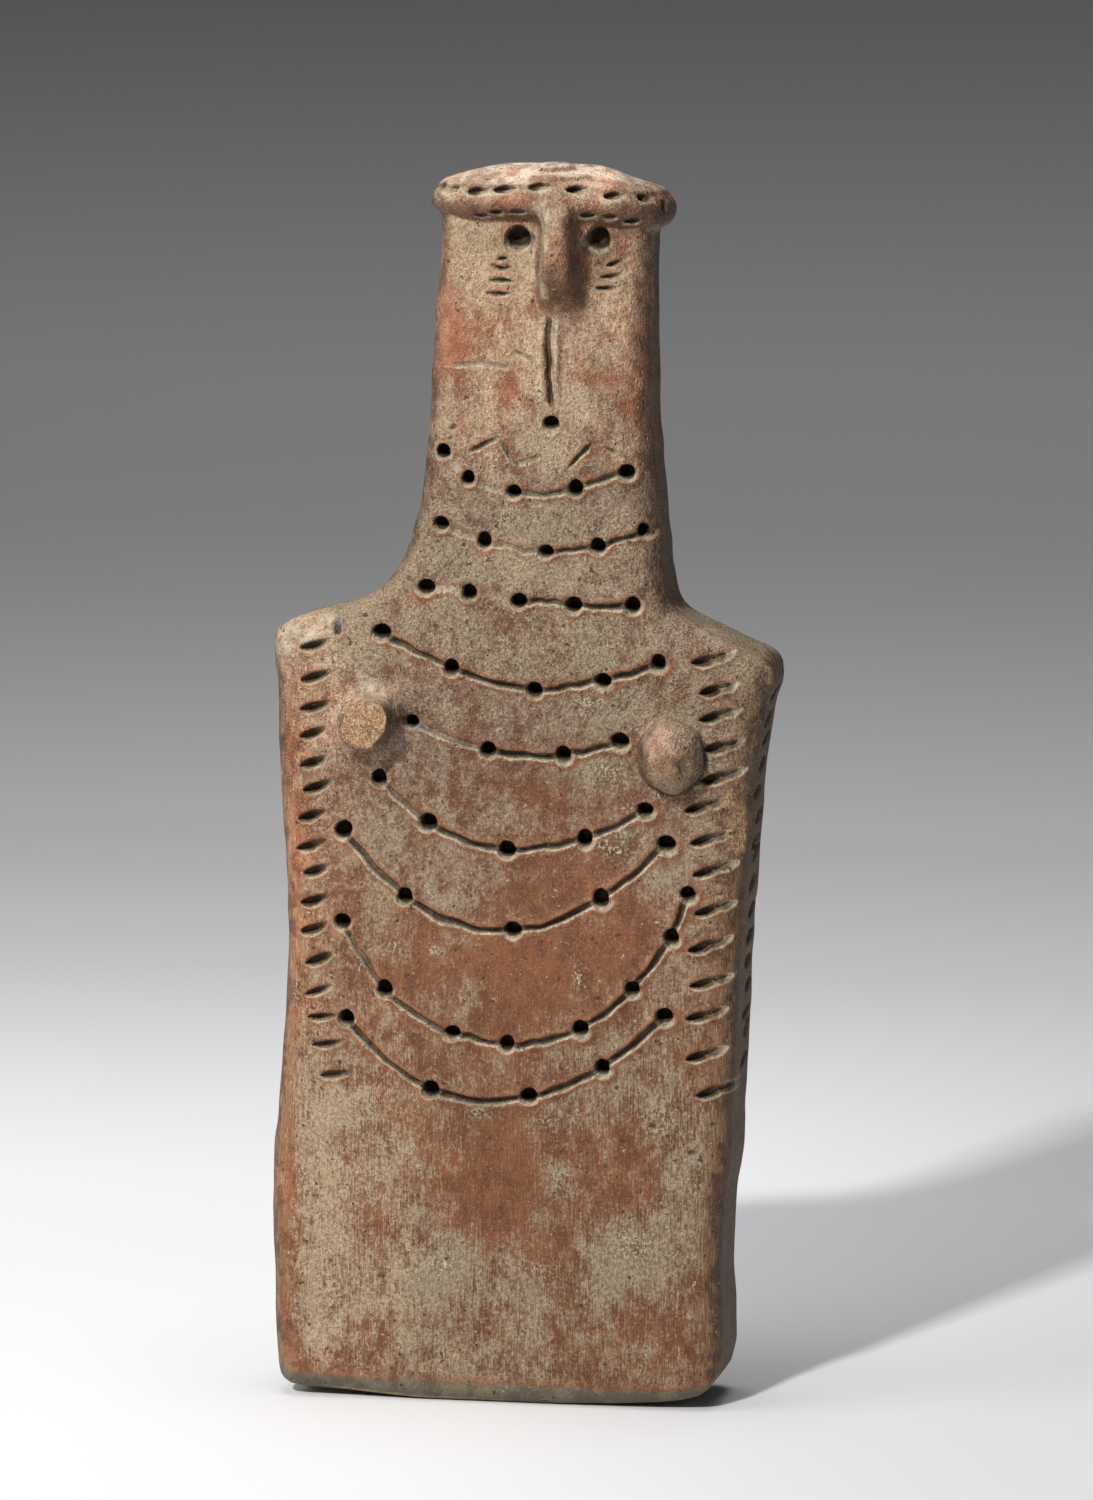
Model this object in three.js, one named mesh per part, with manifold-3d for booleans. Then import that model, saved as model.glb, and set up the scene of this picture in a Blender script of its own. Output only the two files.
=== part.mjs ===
// A plank-shaped standing figurine of solid fired clay, in the manner of Bronze Age red polished ware.
// It is one slab: a broad body, a long flat head on square shoulders, a domed cap with an overhanging rim,
// a wedge nose, two applied breasts (the left one snapped off short) and pressed and incised ornament.
// Millimetres. +Z up, the front faces -Y, the figure's width runs along X. The foot rests on Z = 0.
import * as THREE from "three";
import { mergeVertices } from "three/addons/utils/BufferGeometryUtils.js";
import Module from "manifold-3d";

// ---- overall sizes ----
const HEIGHT = 260; // top of the cap
const FOOT_HALF_DEPTH = 15; // half the slab's thickness just above the foot
const CORNER = 7; // rounding of the slab's long edges
const FRONT_PILLOW = 0.8; // how far the middle of the front stands proud of its edges
const X_CENTRE = 1.08, // the drawing axis of the outline below, moved to the middle of the box
  Y_CENTRE = -3.822;

// The slab's outline: height, left edge, right edge, half thickness.
const STATIONS = [
  [-1, -46.5, 38.5, 15],
  [6.5, -51, 43.9, 15],
  [12, -51.2, 44.6, 15],
  [24, -51.8, 44.2, 14.9],
  [42, -52.2, 44.5, 14.8],
  [53, -51.7, 46.1, 14.6],
  [90, -49, 47.6, 14.1],
  [126, -50.3, 50, 13.7],
  [149, -50.9, 53.2, 13.5],
  [154, -51.6, 54.3, 13.4],
  [157.5, -51.8, 53.5, 13.3],
  [162.2, -51.1, 44.1, 13.1],
  [166.3, -42, 35, 12.9],
  [171, -29, 31.5, 12.4],
  [181, -22.7, 30.5, 11.7],
  [202, -18.9, 28.5, 11.4],
  [240, -16.7, 27.9, 11.5],
  [247, -16.9, 31, 12.6],
  [251, -17.4, 31.3, 12.6],
];
const SHOULDER_Z = 154, // the rings are closest together from here to NECK_Z
  NECK_Z = 178;

// Cap: a domed lid over the head, wider and deeper than the neck.
const CAP = { x: 6.6, z: 251.6, halfWidth: 25.4, halfDepth: 15.6, up: 8.4, down: 4.6, square: 2.6 };
const CAP_ARCH = 1.1; // the rim is this much higher in the middle than at its ends

// Face
const EYE = { z: 244.4, x: [1.2, 18.2], radius: 2.45, depth: 4.2 };
const NOSE = { x: 10.3, top: 252.5, tip: 237.6, bottom: 228.8, halfWidth: 3.3, rootOut: 4.6, tipOut: 10.4 };
const MOUTH_SLIT = { x: 7.8, top: 229, bottom: 209.6, width: 1.3, depth: 1.3 };
const CHIN_HOLE = { x: 8.1, z: 206.4, radius: 1.5 };
const CHEEKS = [
  { x: -1.3, z: 240.5, drop: 2.5, drift: -0.3, count: 4, length: 4.4, slant: -2 },
  { x: 22, z: 239.7, drop: 2.7, drift: -0.8, count: 3, length: 5.4, slant: 12 },
];

// Breasts: centre, base radius, how far they stand out, and the radius where they end.
const BREAST_LEFT = { x: -29.6, z: 143.8, base: 6.9, out: 7.1, end: 4.8 };
const BREAST_RIGHT = { x: 34.9, z: 137.5, base: 7.5, out: 8.2, end: 3.0 };

// Necklaces: left end, right end, sag, skew of the sag, how boxy the curve is, the shares of the width
// where a hole is pressed, and the gaps between holes that have a cut line.
const NECKLACES = [
  { l: [-14.6, 200.3], r: [24.2, 196.4], sag: 6.8, skew: -0.46, power: 2, at: [0, 0.14, 0.385, 0.72, 1], lines: [1, 1, 1, 1] },
  { l: [-15.1, 185.2], r: [28.1, 184.4], sag: 4.9, skew: 0.08, power: 2, at: [0, 0.216, 0.519, 0.772, 1], lines: [1, 1, 1, 1] },
  { l: [-18.2, 172], r: [25.6, 168.8], sag: 0.9, skew: 0.8, power: 2, at: [0, 0.209, 0.453, 0.716, 1], lines: [1, 0, 1, 1] },
  { l: [-27.5, 162.5], r: [31.1, 157.2], sag: 8.1, skew: 0.07, power: 2, at: [0, 0.256, 0.557, 0.803, 1], lines: [1, 1, 1, 1] },
  { l: [-20.9, 144.1], r: [23.1, 140.9], sag: 5, skew: 0.09, power: 2, at: [0, 0.368, 0.729, 1], lines: [1, 1, 1] },
  { l: [-27.9, 132.1], r: [28.5, 126.6], sag: 11.9, skew: -0.19, power: 2, at: [0, 0.185, 0.485, 0.776, 1], lines: [1, 1, 1, 1] },
  { l: [-35.6, 120.9], r: [33, 119.6], sag: 19.8, skew: -0.11, power: 2, at: [0, 0.192, 0.528, 0.8, 1], lines: [1, 1, 1, 1] },
  { l: [-35.9, 101.6], r: [37.5, 109.2], sag: 28.6, skew: 0.13, power: 2.45, at: [0, 0.125, 0.321, 0.481, 0.693, 0.841, 0.952, 1], lines: [1, 1, 1, 1, 1, 1, 1] },
  { l: [-35, 81.3], r: [32.6, 83.5], sag: 17.9, skew: -0.13, power: 2.1, at: [0, 0.268, 0.579, 0.81, 1], lines: [1, 1, 1, 1] },
];
const HOLE = { radius: 1.75, taper: 0.7, depth: 4.2 };
const LINE = { width: 1.7, depth: 0.9 };

// Strokes under the chin: two short zigzags.
const ZIGZAG = [
  [[-9.4, 200.1], [-2.9, 203.1], [0.1, 198], [6.6, 199.7]],
  [[11.7, 196.9], [16.7, 202.3]],
  [[19.8, 201.3], [25.3, 198.7]],
];

// Columns of slanting dashes beside the edges: count, first and last height, distance from the edge.
const DASH_LEFT = { count: 16, top: 159.5, bottom: 69.1, inset: 9.4, drift: 4.2, length: 5.6, width: 2, slant: 21 };
const DASH_RIGHT = { count: 14, top: 157.9, bottom: 68, inset: 9.4, drift: 0, length: 7, width: 2.2, slant: 17 };
const DASH_SIDE = { count: 13, top: 150, bottom: 79, length: 7.5, width: 2, slant: 14, y: 2 };
const DASH_DEPTH = 1.5;
const SHOULDER_NICK = { x: [-37, 40.6], z: [164.7, 165.4], length: 4.4, width: 1.7 };
const RIM_DASH_UPPER = { z: 253.6, from: -12.5, to: 28.4, count: 7, length: 5, width: 1.6 };
const RIM_DASH_LOWER = { z: 249, x: [-6.4, -3, 1.7, 16.4, 21, 25.4], length: 2.8, width: 1.1 };
const RIM_BACK_COUNT = 7; // the upper row runs round the back too

// ---- helpers ----
const wasm = await Module();
wasm.setup();

// Monotone smooth interpolation in a table of rows sorted by their first number.
function smooth(table, column, at) {
  const n = table.length;
  if (at <= table[0][0]) return table[0][column];
  if (at >= table[n - 1][0]) return table[n - 1][column];
  let i = 0;
  while (table[i + 1][0] < at) i++;
  const slope = (k) => (table[k + 1][column] - table[k][column]) / (table[k + 1][0] - table[k][0]);
  const tangent = (k) => {
    if (k === 0) return slope(0);
    if (k === n - 1) return slope(n - 2);
    const a = slope(k - 1), b = slope(k);
    return a * b <= 0 ? 0 : (2 * a * b) / (a + b);
  };
  const h = table[i + 1][0] - table[i][0], t = (at - table[i][0]) / h;
  return (
    (2 * t ** 3 - 3 * t ** 2 + 1) * table[i][column] +
    (t ** 3 - 2 * t ** 2 + t) * h * tangent(i) +
    (3 * t ** 2 - 2 * t ** 3) * table[i + 1][column] +
    (t ** 3 - t ** 2) * h * tangent(i + 1)
  );
}
const leftEdge = (z) => smooth(STATIONS, 1, z);
const rightEdge = (z) => smooth(STATIONS, 2, z);
const halfDepth = (z) => smooth(STATIONS, 3, z);

// Y of the front surface at a place on the face.
function frontY(x, z) {
  const l = leftEdge(z), r = rightEdge(z), c = (l + r) / 2, flat = (r - l) / 2 - CORNER;
  const over = Math.max(0, Math.abs(x - c) - flat), u = Math.min(1, Math.abs(x - c) / flat);
  const fall = over < CORNER ? CORNER - Math.sqrt(CORNER ** 2 - over ** 2) : CORNER;
  return -halfDepth(z) - FRONT_PILLOW * (1 - u * u) + fall;
}

function solid(geometry) {
  const g = geometry.index ? geometry.toNonIndexed() : geometry.clone();
  const bare = new THREE.BufferGeometry().setAttribute("position", g.getAttribute("position"));
  const m = mergeVertices(bare, 1e-4);
  const vertProperties = new Float32Array(m.attributes.position.array);
  const triVerts = new Uint32Array(m.index.array);
  const made = new wasm.Manifold(new wasm.Mesh({ numProp: 3, vertProperties, triVerts }));
  if (made.volume() > 0) return made;
  // a mirrored shape comes out inside out: turn every triangle round
  for (let i = 0; i < triVerts.length; i += 3) [triVerts[i], triVerts[i + 1]] = [triVerts[i + 1], triVerts[i]];
  return new wasm.Manifold(new wasm.Mesh({ numProp: 3, vertProperties, triVerts }));
}

// Moves every vertex of a geometry through a function of its position.
function remap(geometry, fn) {
  const p = geometry.getAttribute("position"), v = new THREE.Vector3();
  for (let i = 0; i < p.count; i++) {
    v.fromBufferAttribute(p, i);
    fn(v);
    p.setXYZ(i, v.x, v.y, v.z);
  }
  return geometry;
}

// ---- the slab ----
// One section of the slab as points running from the middle of the front, round by +X.
const FRONT_STEPS = 2, CORNER_STEPS = 4, SIDE_STEPS = 1, BACK_STEPS = 2;
function section(half, depth, pillow) {
  const r = Math.min(CORNER, half - 1, depth - 1), out = [];
  const put = (x, y) => out.push([x, y]);
  for (let i = 0; i < FRONT_STEPS; i++) {
    const u = i / FRONT_STEPS;
    put(u * (half - r), -depth - pillow * (1 - u * u));
  }
  for (let i = 0; i < CORNER_STEPS; i++) {
    const a = (i / CORNER_STEPS) * (Math.PI / 2);
    put(half - r + r * Math.sin(a), -depth + r - r * Math.cos(a));
  }
  for (let i = 0; i < SIDE_STEPS; i++) put(half, -depth + r + (i / SIDE_STEPS) * 2 * (depth - r));
  for (let i = 0; i < CORNER_STEPS; i++) {
    const a = (i / CORNER_STEPS) * (Math.PI / 2);
    put(half - r + r * Math.cos(a), depth - r + r * Math.sin(a));
  }
  for (let i = 0; i < BACK_STEPS; i++) {
    const u = 1 - i / BACK_STEPS;
    put(u * (half - r), depth + pillow * 0.6 * (1 - u * u));
  }
  const mirrored = out.slice(1).reverse().map(([x, y]) => [-x, y]);
  return [...out, [0, depth + pillow * 0.6], ...mirrored];
}
const SIDES = section(50, 15, 0).length;

// Ring heights: close at the foot and over the shoulders, wide apart on the plain stretches.
const RINGS = [-1, 0, 1.2, 3, 5.6, 9];
for (let i = 1; i <= 8; i++) RINGS.push(9 + (i / 8) * (SHOULDER_Z - 9));
for (let i = 1; i <= 10; i++) RINGS.push(SHOULDER_Z + (i / 10) * (NECK_Z - SHOULDER_Z));
for (let i = 1; i <= 5; i++) RINGS.push(NECK_Z + (i / 5) * (241 - NECK_Z));
RINGS.push(244, 247.5, 251);

const FOOT_ROUND = 5.6; // height over which the underside curves up to the front and back
function ringPoint(k, z) {
  const l = leftEdge(z), r = rightEdge(z), d = halfDepth(z);
  const sunk = Math.min(1, Math.max(0, (FOOT_ROUND - z) / (FOOT_ROUND + 1)));
  const depth = d - 4.6 * (1 - Math.sqrt(1 - sunk * sunk)) * (sunk > 0 ? 1 : 0);
  const p = section((r - l) / 2, depth, FRONT_PILLOW)[k];
  return [(l + r) / 2 + p[0], p[1]];
}
// The foot is a shallow rocker: its ends stand clear of the ground.
const rocker = (x) => 2.1 * Math.max(0, (Math.abs(x + 3) - 20) / 22) ** 1.7;

const slabGeometry = remap(new THREE.CylinderGeometry(1, 1, 1, SIDES, RINGS.length - 1), (v) => {
  const row = Math.round((v.y + 0.5) * (RINGS.length - 1)), z = RINGS[row];
  const onAxis = Math.hypot(v.x, v.z) < 1e-6;
  const k = ((Math.round((Math.atan2(v.x, v.z) / (2 * Math.PI)) * SIDES) % SIDES) + SIDES) % SIDES;
  const [x, y] = onAxis ? [(leftEdge(z) + rightEdge(z)) / 2, 0] : ringPoint(k, z);
  v.set(x, y, z + rocker(x) * Math.max(0, 1 - Math.max(0, z) / 12));
});

// ---- cap, nose and breasts ----
const capGeometry = remap(new THREE.SphereGeometry(1, 30, 12), (v) => {
  // three.js spheres have their poles on Y: turn them up, square the plan a little, flatten the rim
  const px = v.x, py = -v.z, pz = v.y;
  const plan = Math.hypot(px, py), a = Math.atan2(py, px);
  const n = CAP.square, c = Math.abs(Math.cos(a)), s = Math.abs(Math.sin(a));
  const k = plan > 1e-9 ? (c ** n + s ** n) ** (-1 / n) : 0;
  const wide = Math.abs(plan) ** 0.82;
  const x = CAP.halfWidth * k * Math.cos(a) * wide, y = CAP.halfDepth * k * Math.sin(a) * wide;
  const arch = CAP_ARCH * (1 - (x / CAP.halfWidth) ** 2);
  v.set(CAP.x + x, y, CAP.z + arch + (pz > 0 ? CAP.up - CAP_ARCH : CAP.down) * pz);
});

// The nose is a ridge from the rim down to a blunt tip, undercut below it.
const noseGeometry = remap(new THREE.BoxGeometry(2, 1, 1, 4, 1, 6), (v) => {
  const t = v.z + 0.5, z = NOSE.bottom + t * (NOSE.top - NOSE.bottom); // 0 at the bottom, 1 at the root
  const tip = (NOSE.tip - NOSE.bottom) / (NOSE.top - NOSE.bottom);
  const out = t < tip ? NOSE.tipOut * (t / tip) ** 0.8 : NOSE.tipOut + (NOSE.rootOut - NOSE.tipOut) * ((t - tip) / (1 - tip)) ** 0.75;
  const front = v.y < 0, flare = front ? 1 : 1.45;
  const round = front ? 1 - 0.35 * v.x * v.x : 1;
  const y = frontY(NOSE.x, z);
  v.set(NOSE.x + v.x * NOSE.halfWidth * flare, front ? y - Math.max(0.02, out) * round : y + 4, z);
});

function breast(b, steps) {
  const profile = [[0, -3], [b.base * 1.05, -3]];
  for (let i = 0; i <= steps; i++) {
    const t = i / steps; // 0 at the slab, 1 at the end
    profile.push([b.end + (b.base - b.end) * (1 - t) ** 1.5, t * b.out]);
  }
  const dome = b.end < 4 ? 1 : 0; // the whole one ends in a dome, the snapped one flat
  profile.push([b.end * 0.6, b.out + 0.9 * dome], [0, b.out + 1.1 * dome]);
  const g = new THREE.LatheGeometry(profile.map(([r, h]) => new THREE.Vector2(r, h)), 16);
  // the lathe's axis is Y: point it out of the front
  return remap(g, (v) => v.set(b.x + v.x, frontY(b.x, b.z) - v.y, b.z + v.z * 1.12));
}

// ---- cutters ----
const cutters = [];
// A tapered round hole pressed straight into the front.
function hole(x, z, radius, depth, sides = 8) {
  const g = new THREE.CylinderGeometry(radius, radius * HOLE.taper, depth + 2.5, sides);
  remap(g, (v) => v.set(x + v.x, frontY(x, z) - v.y + (depth + 2.5) / 2 - 2.5, z + v.z));
  cutters.push(solid(g));
}
// A leaf-shaped stroke: a stretched, flattened ball half sunk in a surface.
function stroke(centre, along, out, length, width, depth) {
  const g = new THREE.SphereGeometry(1, 4, 3);
  const w = new THREE.Vector3().crossVectors(along, out);
  remap(g, (v) => {
    const { x, y, z } = v;
    v.copy(centre)
      .addScaledVector(along, y * (length / 2) * 1.1)
      .addScaledVector(w, x * (width / 2) * 1.2)
      .addScaledVector(out, z * depth * 1.1);
  });
  cutters.push(solid(g));
}
function frontStroke(x, z, slant, length, width, depth = DASH_DEPTH) {
  const a = (slant * Math.PI) / 180;
  const dx = Math.cos(a), dz = Math.sin(a), e = length * 0.3;
  const dy = (frontY(x + e * dx, z + e * dz) - frontY(x - e * dx, z - e * dz)) / (2 * e);
  const along = new THREE.Vector3(dx, dy, dz).normalize();
  const out = new THREE.Vector3(0, -1, 0).addScaledVector(along, along.y).normalize();
  stroke(new THREE.Vector3(x, frontY(x, z), z), along, out, length, width, depth);
}
// A line cut along a curve on the front, from one share of it to another.
function line(curveAt, from, to, width, depth, steps) {
  class Path extends THREE.Curve {
    getPoint(t, target = new THREE.Vector3()) {
      const [x, z] = curveAt(from + (to - from) * t);
      return target.set(x, frontY(x, z) - 0.25, z);
    }
  }
  const shape = new THREE.Shape();
  for (let i = 0; i < 4; i++) {
    const a = (i / 4) * 2 * Math.PI;
    const p = [(depth + 0.25) * 1.08 * Math.cos(a), (width / 2) * 1.12 * Math.sin(a)];
    i ? shape.lineTo(...p) : shape.moveTo(...p);
  }
  cutters.push(solid(new THREE.ExtrudeGeometry(shape, { steps, extrudePath: new Path(), bevelEnabled: false })));
}

for (const n of NECKLACES) {
  const curve = (t) => {
    const x = n.l[0] + (n.r[0] - n.l[0]) * t, straight = n.l[1] + (n.r[1] - n.l[1]) * t;
    const u = 2 * t - 1;
    return [x, straight - n.sag * (1 - Math.abs(u) ** n.power) * (1 + n.skew * u)];
  };
  n.at.forEach((t) => hole(...curve(t), HOLE.radius, HOLE.depth));
  n.lines.forEach((drawn, i) => {
    if (drawn) line(curve, n.at[i], n.at[i + 1], LINE.width, LINE.depth, n.at[i + 1] - n.at[i] > 0.18 ? 3 : 2);
  });
}
EYE.x.forEach((x) => hole(x, EYE.z, EYE.radius, EYE.depth, 12));
hole(CHIN_HOLE.x, CHIN_HOLE.z, CHIN_HOLE.radius, 3.4);
line((t) => [MOUTH_SLIT.x, MOUTH_SLIT.top + (MOUTH_SLIT.bottom - MOUTH_SLIT.top) * t], 0, 1, MOUTH_SLIT.width, MOUTH_SLIT.depth, 3);
for (const zig of ZIGZAG)
  for (let i = 0; i + 1 < zig.length; i++) {
    const [a, b] = [zig[i], zig[i + 1]];
    const slant = (Math.atan2(b[1] - a[1], b[0] - a[0]) * 180) / Math.PI;
    frontStroke((a[0] + b[0]) / 2, (a[1] + b[1]) / 2, slant, Math.hypot(b[0] - a[0], b[1] - a[1]), 1.3, 0.9);
  }
for (const c of CHEEKS)
  for (let i = 0; i < c.count; i++) frontStroke(c.x + i * c.drift, c.z - i * c.drop, c.slant, c.length, 1.2, 1);

for (const [side, d] of [[-1, DASH_LEFT], [1, DASH_RIGHT]])
  for (let i = 0; i < d.count; i++) {
    const t = i / (d.count - 1), z = d.top + (d.bottom - d.top) * t;
    const edge = side < 0 ? leftEdge(Math.min(z, 152)) : rightEdge(Math.min(z, 148));
    frontStroke(edge - side * (d.inset + d.drift * Math.max(0, t - 0.75) * 4), z, d.slant, d.length, d.width);
  }
for (const side of [-1, 1])
  for (let i = 0; i < DASH_SIDE.count; i++) {
    const z = DASH_SIDE.top + (DASH_SIDE.bottom - DASH_SIDE.top) * (i / (DASH_SIDE.count - 1));
    const a = (DASH_SIDE.slant * Math.PI) / 180;
    stroke(
      new THREE.Vector3(side < 0 ? leftEdge(z) : rightEdge(z), DASH_SIDE.y, z),
      new THREE.Vector3(0, Math.cos(a), Math.sin(a)),
      new THREE.Vector3(side, 0, 0),
      DASH_SIDE.length, DASH_SIDE.width, DASH_DEPTH * 0.8,
    );
  }
SHOULDER_NICK.x.forEach((x, i) => frontStroke(x, SHOULDER_NICK.z[i] - 1, 90, SHOULDER_NICK.length, SHOULDER_NICK.width, 1.4));

// Dashes round the cap's rim: on a superellipse plan, pointing straight out of it.
const rimRadius = (a) => {
  const n = CAP.square, c = Math.abs(Math.cos(a)), s = Math.abs(Math.sin(a));
  return (c ** n + s ** n) ** (-1 / n);
};
function rimStroke(x, z, back, length, width, depth) {
  const n = CAP.square, u = Math.min(0.97, Math.abs((x - CAP.x) / CAP.halfWidth));
  const y = (back ? 1 : -1) * CAP.halfDepth * (1 - u ** n) ** (1 / n);
  const nx = Math.sign(x - CAP.x) * u ** (n - 1) / CAP.halfWidth;
  const ny = Math.sign(y) * (Math.abs(y) / CAP.halfDepth) ** (n - 1) / CAP.halfDepth;
  const out = new THREE.Vector3(nx, ny, 0).normalize();
  const along = new THREE.Vector3(-out.y, out.x, 0).multiplyScalar(back ? 1 : -1);
  const arch = CAP_ARCH * (1 - u * u);
  const lift = Math.min(1, Math.abs((z - CAP.z) / CAP.up)) ** 2 * 1.6;
  const at = new THREE.Vector3(x, y, z + arch).addScaledVector(out, -lift);
  stroke(at, along.applyAxisAngle(out, 0.16), out, length, width, depth);
}
for (let i = 0; i < RIM_DASH_UPPER.count; i++)
  rimStroke(
    RIM_DASH_UPPER.from + (RIM_DASH_UPPER.to - RIM_DASH_UPPER.from) * (i / (RIM_DASH_UPPER.count - 1)),
    RIM_DASH_UPPER.z, false, RIM_DASH_UPPER.length, RIM_DASH_UPPER.width, 1.3,
  );
for (let i = 0; i < RIM_BACK_COUNT; i++)
  rimStroke(CAP.x - 20 + (40 * i) / (RIM_BACK_COUNT - 1), RIM_DASH_UPPER.z, true, RIM_DASH_UPPER.length, RIM_DASH_UPPER.width, 1.1);
RIM_DASH_LOWER.x.forEach((x) => rimStroke(x, RIM_DASH_LOWER.z, false, RIM_DASH_LOWER.length, RIM_DASH_LOWER.width, 0.9));
// a small hole pierced in each end of the rim
for (const side of [-1, 1]) {
  const g = new THREE.CylinderGeometry(0.8, 0.6, 5, 6);
  remap(g, (v) => v.set(CAP.x + side * (CAP.halfWidth + v.y), -2 + v.x, CAP.z + 0.4 + side * v.z));
  cutters.push(solid(g));
}

// ---- put together ----
const ground = solid(remap(new THREE.BoxGeometry(200, 100, 20), (v) => v.set(v.x, v.y, v.z - 10)));
const figure = solid(slabGeometry)
  .add(solid(capGeometry))
  .add(solid(noseGeometry))
  .add(solid(breast(BREAST_LEFT, 2)))
  .add(solid(breast(BREAST_RIGHT, 3)))
  .subtract(ground)
  .subtract(wasm.Manifold.union(cutters));

const mesh = figure.getMesh(), count = mesh.numProp;
const positions = new Float32Array(mesh.numVert * 3);
for (let i = 0; i < mesh.numVert; i++) {
  positions[3 * i] = mesh.vertProperties[count * i] - X_CENTRE;
  positions[3 * i + 1] = mesh.vertProperties[count * i + 1] - Y_CENTRE;
  positions[3 * i + 2] = mesh.vertProperties[count * i + 2];
}
const geometry = new THREE.BufferGeometry()
  .setAttribute("position", new THREE.BufferAttribute(positions, 3))
  .setIndex(new THREE.BufferAttribute(new Uint32Array(mesh.triVerts), 1));
geometry.computeVertexNormals();

const clay = new THREE.MeshStandardMaterial({ color: 0x9c6a50, roughness: 0.78, metalness: 0 });
const figurine = new THREE.Mesh(geometry, clay);
figurine.name = "figurine";

const object = new THREE.Group();
object.add(figurine);
export default object;
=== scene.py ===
import bpy, math
import numpy as np
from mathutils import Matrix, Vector


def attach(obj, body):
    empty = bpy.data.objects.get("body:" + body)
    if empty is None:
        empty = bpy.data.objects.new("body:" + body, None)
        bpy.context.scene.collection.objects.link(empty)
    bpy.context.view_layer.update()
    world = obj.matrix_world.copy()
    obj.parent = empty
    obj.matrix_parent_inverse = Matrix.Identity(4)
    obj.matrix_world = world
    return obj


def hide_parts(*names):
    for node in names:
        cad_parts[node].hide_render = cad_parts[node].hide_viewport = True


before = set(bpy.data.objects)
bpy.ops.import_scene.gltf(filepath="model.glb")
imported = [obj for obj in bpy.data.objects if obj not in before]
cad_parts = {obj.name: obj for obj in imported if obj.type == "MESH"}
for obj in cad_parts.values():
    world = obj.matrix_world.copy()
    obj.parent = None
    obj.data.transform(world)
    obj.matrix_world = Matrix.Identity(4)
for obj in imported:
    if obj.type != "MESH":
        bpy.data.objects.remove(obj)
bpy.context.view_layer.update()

# A plank-shaped standing figurine of fired clay. The surface is built as a distance field in millimetres on a
# regular grid, with every pressed hole, cut line and dash in it, then meshed and thinned out.
# x runs to the viewer's right, -y is the front, z is up; the drawing axis is moved to the frame's origin at the end.
X_CENTRE, Y_CENTRE = 1.08, -3.822
VOXEL = 0.34
FACES = 194000

# ------------------------------------------------------------------ shape tables
# height, left edge, right edge
OUTLINE = np.array([
    (-14.0, -51.0, 44.0), (6.5, -51.0, 43.9), (10.8, -51.2, 44.6), (19.4, -51.6, 44.5), (28.0, -51.9, 44.1),
    (36.6, -52.0, 44.3), (45.2, -52.2, 44.9), (49.6, -52.0, 45.5), (53.9, -51.7, 46.2), (58.0, -51.1, 46.3),
    (66.6, -50.4, 46.4), (75.3, -49.8, 47.0), (83.7, -49.3, 47.3), (92.3, -49.0, 47.6), (100.9, -49.0, 48.0),
    (109.4, -49.2, 48.8), (117.8, -49.6, 49.3), (126.3, -50.3, 49.9), (134.9, -50.6, 50.9), (139.0, -50.7, 51.6),
    (143.4, -50.8, 52.2), (147.6, -50.8, 52.8), (149.7, -50.9, 53.4), (151.8, -50.9, 54.2), (154.0, -51.4, 54.3),
    (156.1, -51.7, 54.1), (157.7, -51.8, 53.2), (159.0, -51.7, 51.5), (160.2, -51.7, 48.5), (161.9, -51.3, 44.6),
    (163.2, -50.0, 41.8), (164.5, -47.9, 38.7), (165.8, -44.0, 35.9), (167.1, -38.7, 33.8), (168.5, -34.0, 32.5),
    (170.6, -29.5, 31.7), (172.8, -27.0, 31.3), (174.9, -25.5, 31.0), (177.0, -24.2, 30.6), (181.2, -22.7, 30.6),
    (185.4, -21.5, 29.9), (189.6, -20.4, 29.6), (193.8, -19.8, 29.4), (198.0, -19.1, 29.0), (202.1, -18.9, 28.5),
    (206.3, -18.5, 28.1), (214.6, -18.3, 28.0), (222.9, -17.7, 27.9), (231.2, -17.3, 28.0), (239.6, -16.6, 27.9),
    (243.7, -16.3, 28.0), (250.0, -16.3, 28.2), (253.0, -16.3, 28.2)])
# height, half thickness
THICK = np.array([(-14, 15.0), (10, 15.0), (60, 14.4), (120, 13.7), (158, 13.2), (166, 12.8), (175, 12.0),
                  (190, 11.5), (215, 11.3), (235, 11.3), (253, 11.6)])
CORNER = 7.0

EYES = [(1.2, 244.5, 2.5), (18.2, 244.4, 2.45)]
CHIN = (8.1, 206.4, 1.45)

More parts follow.
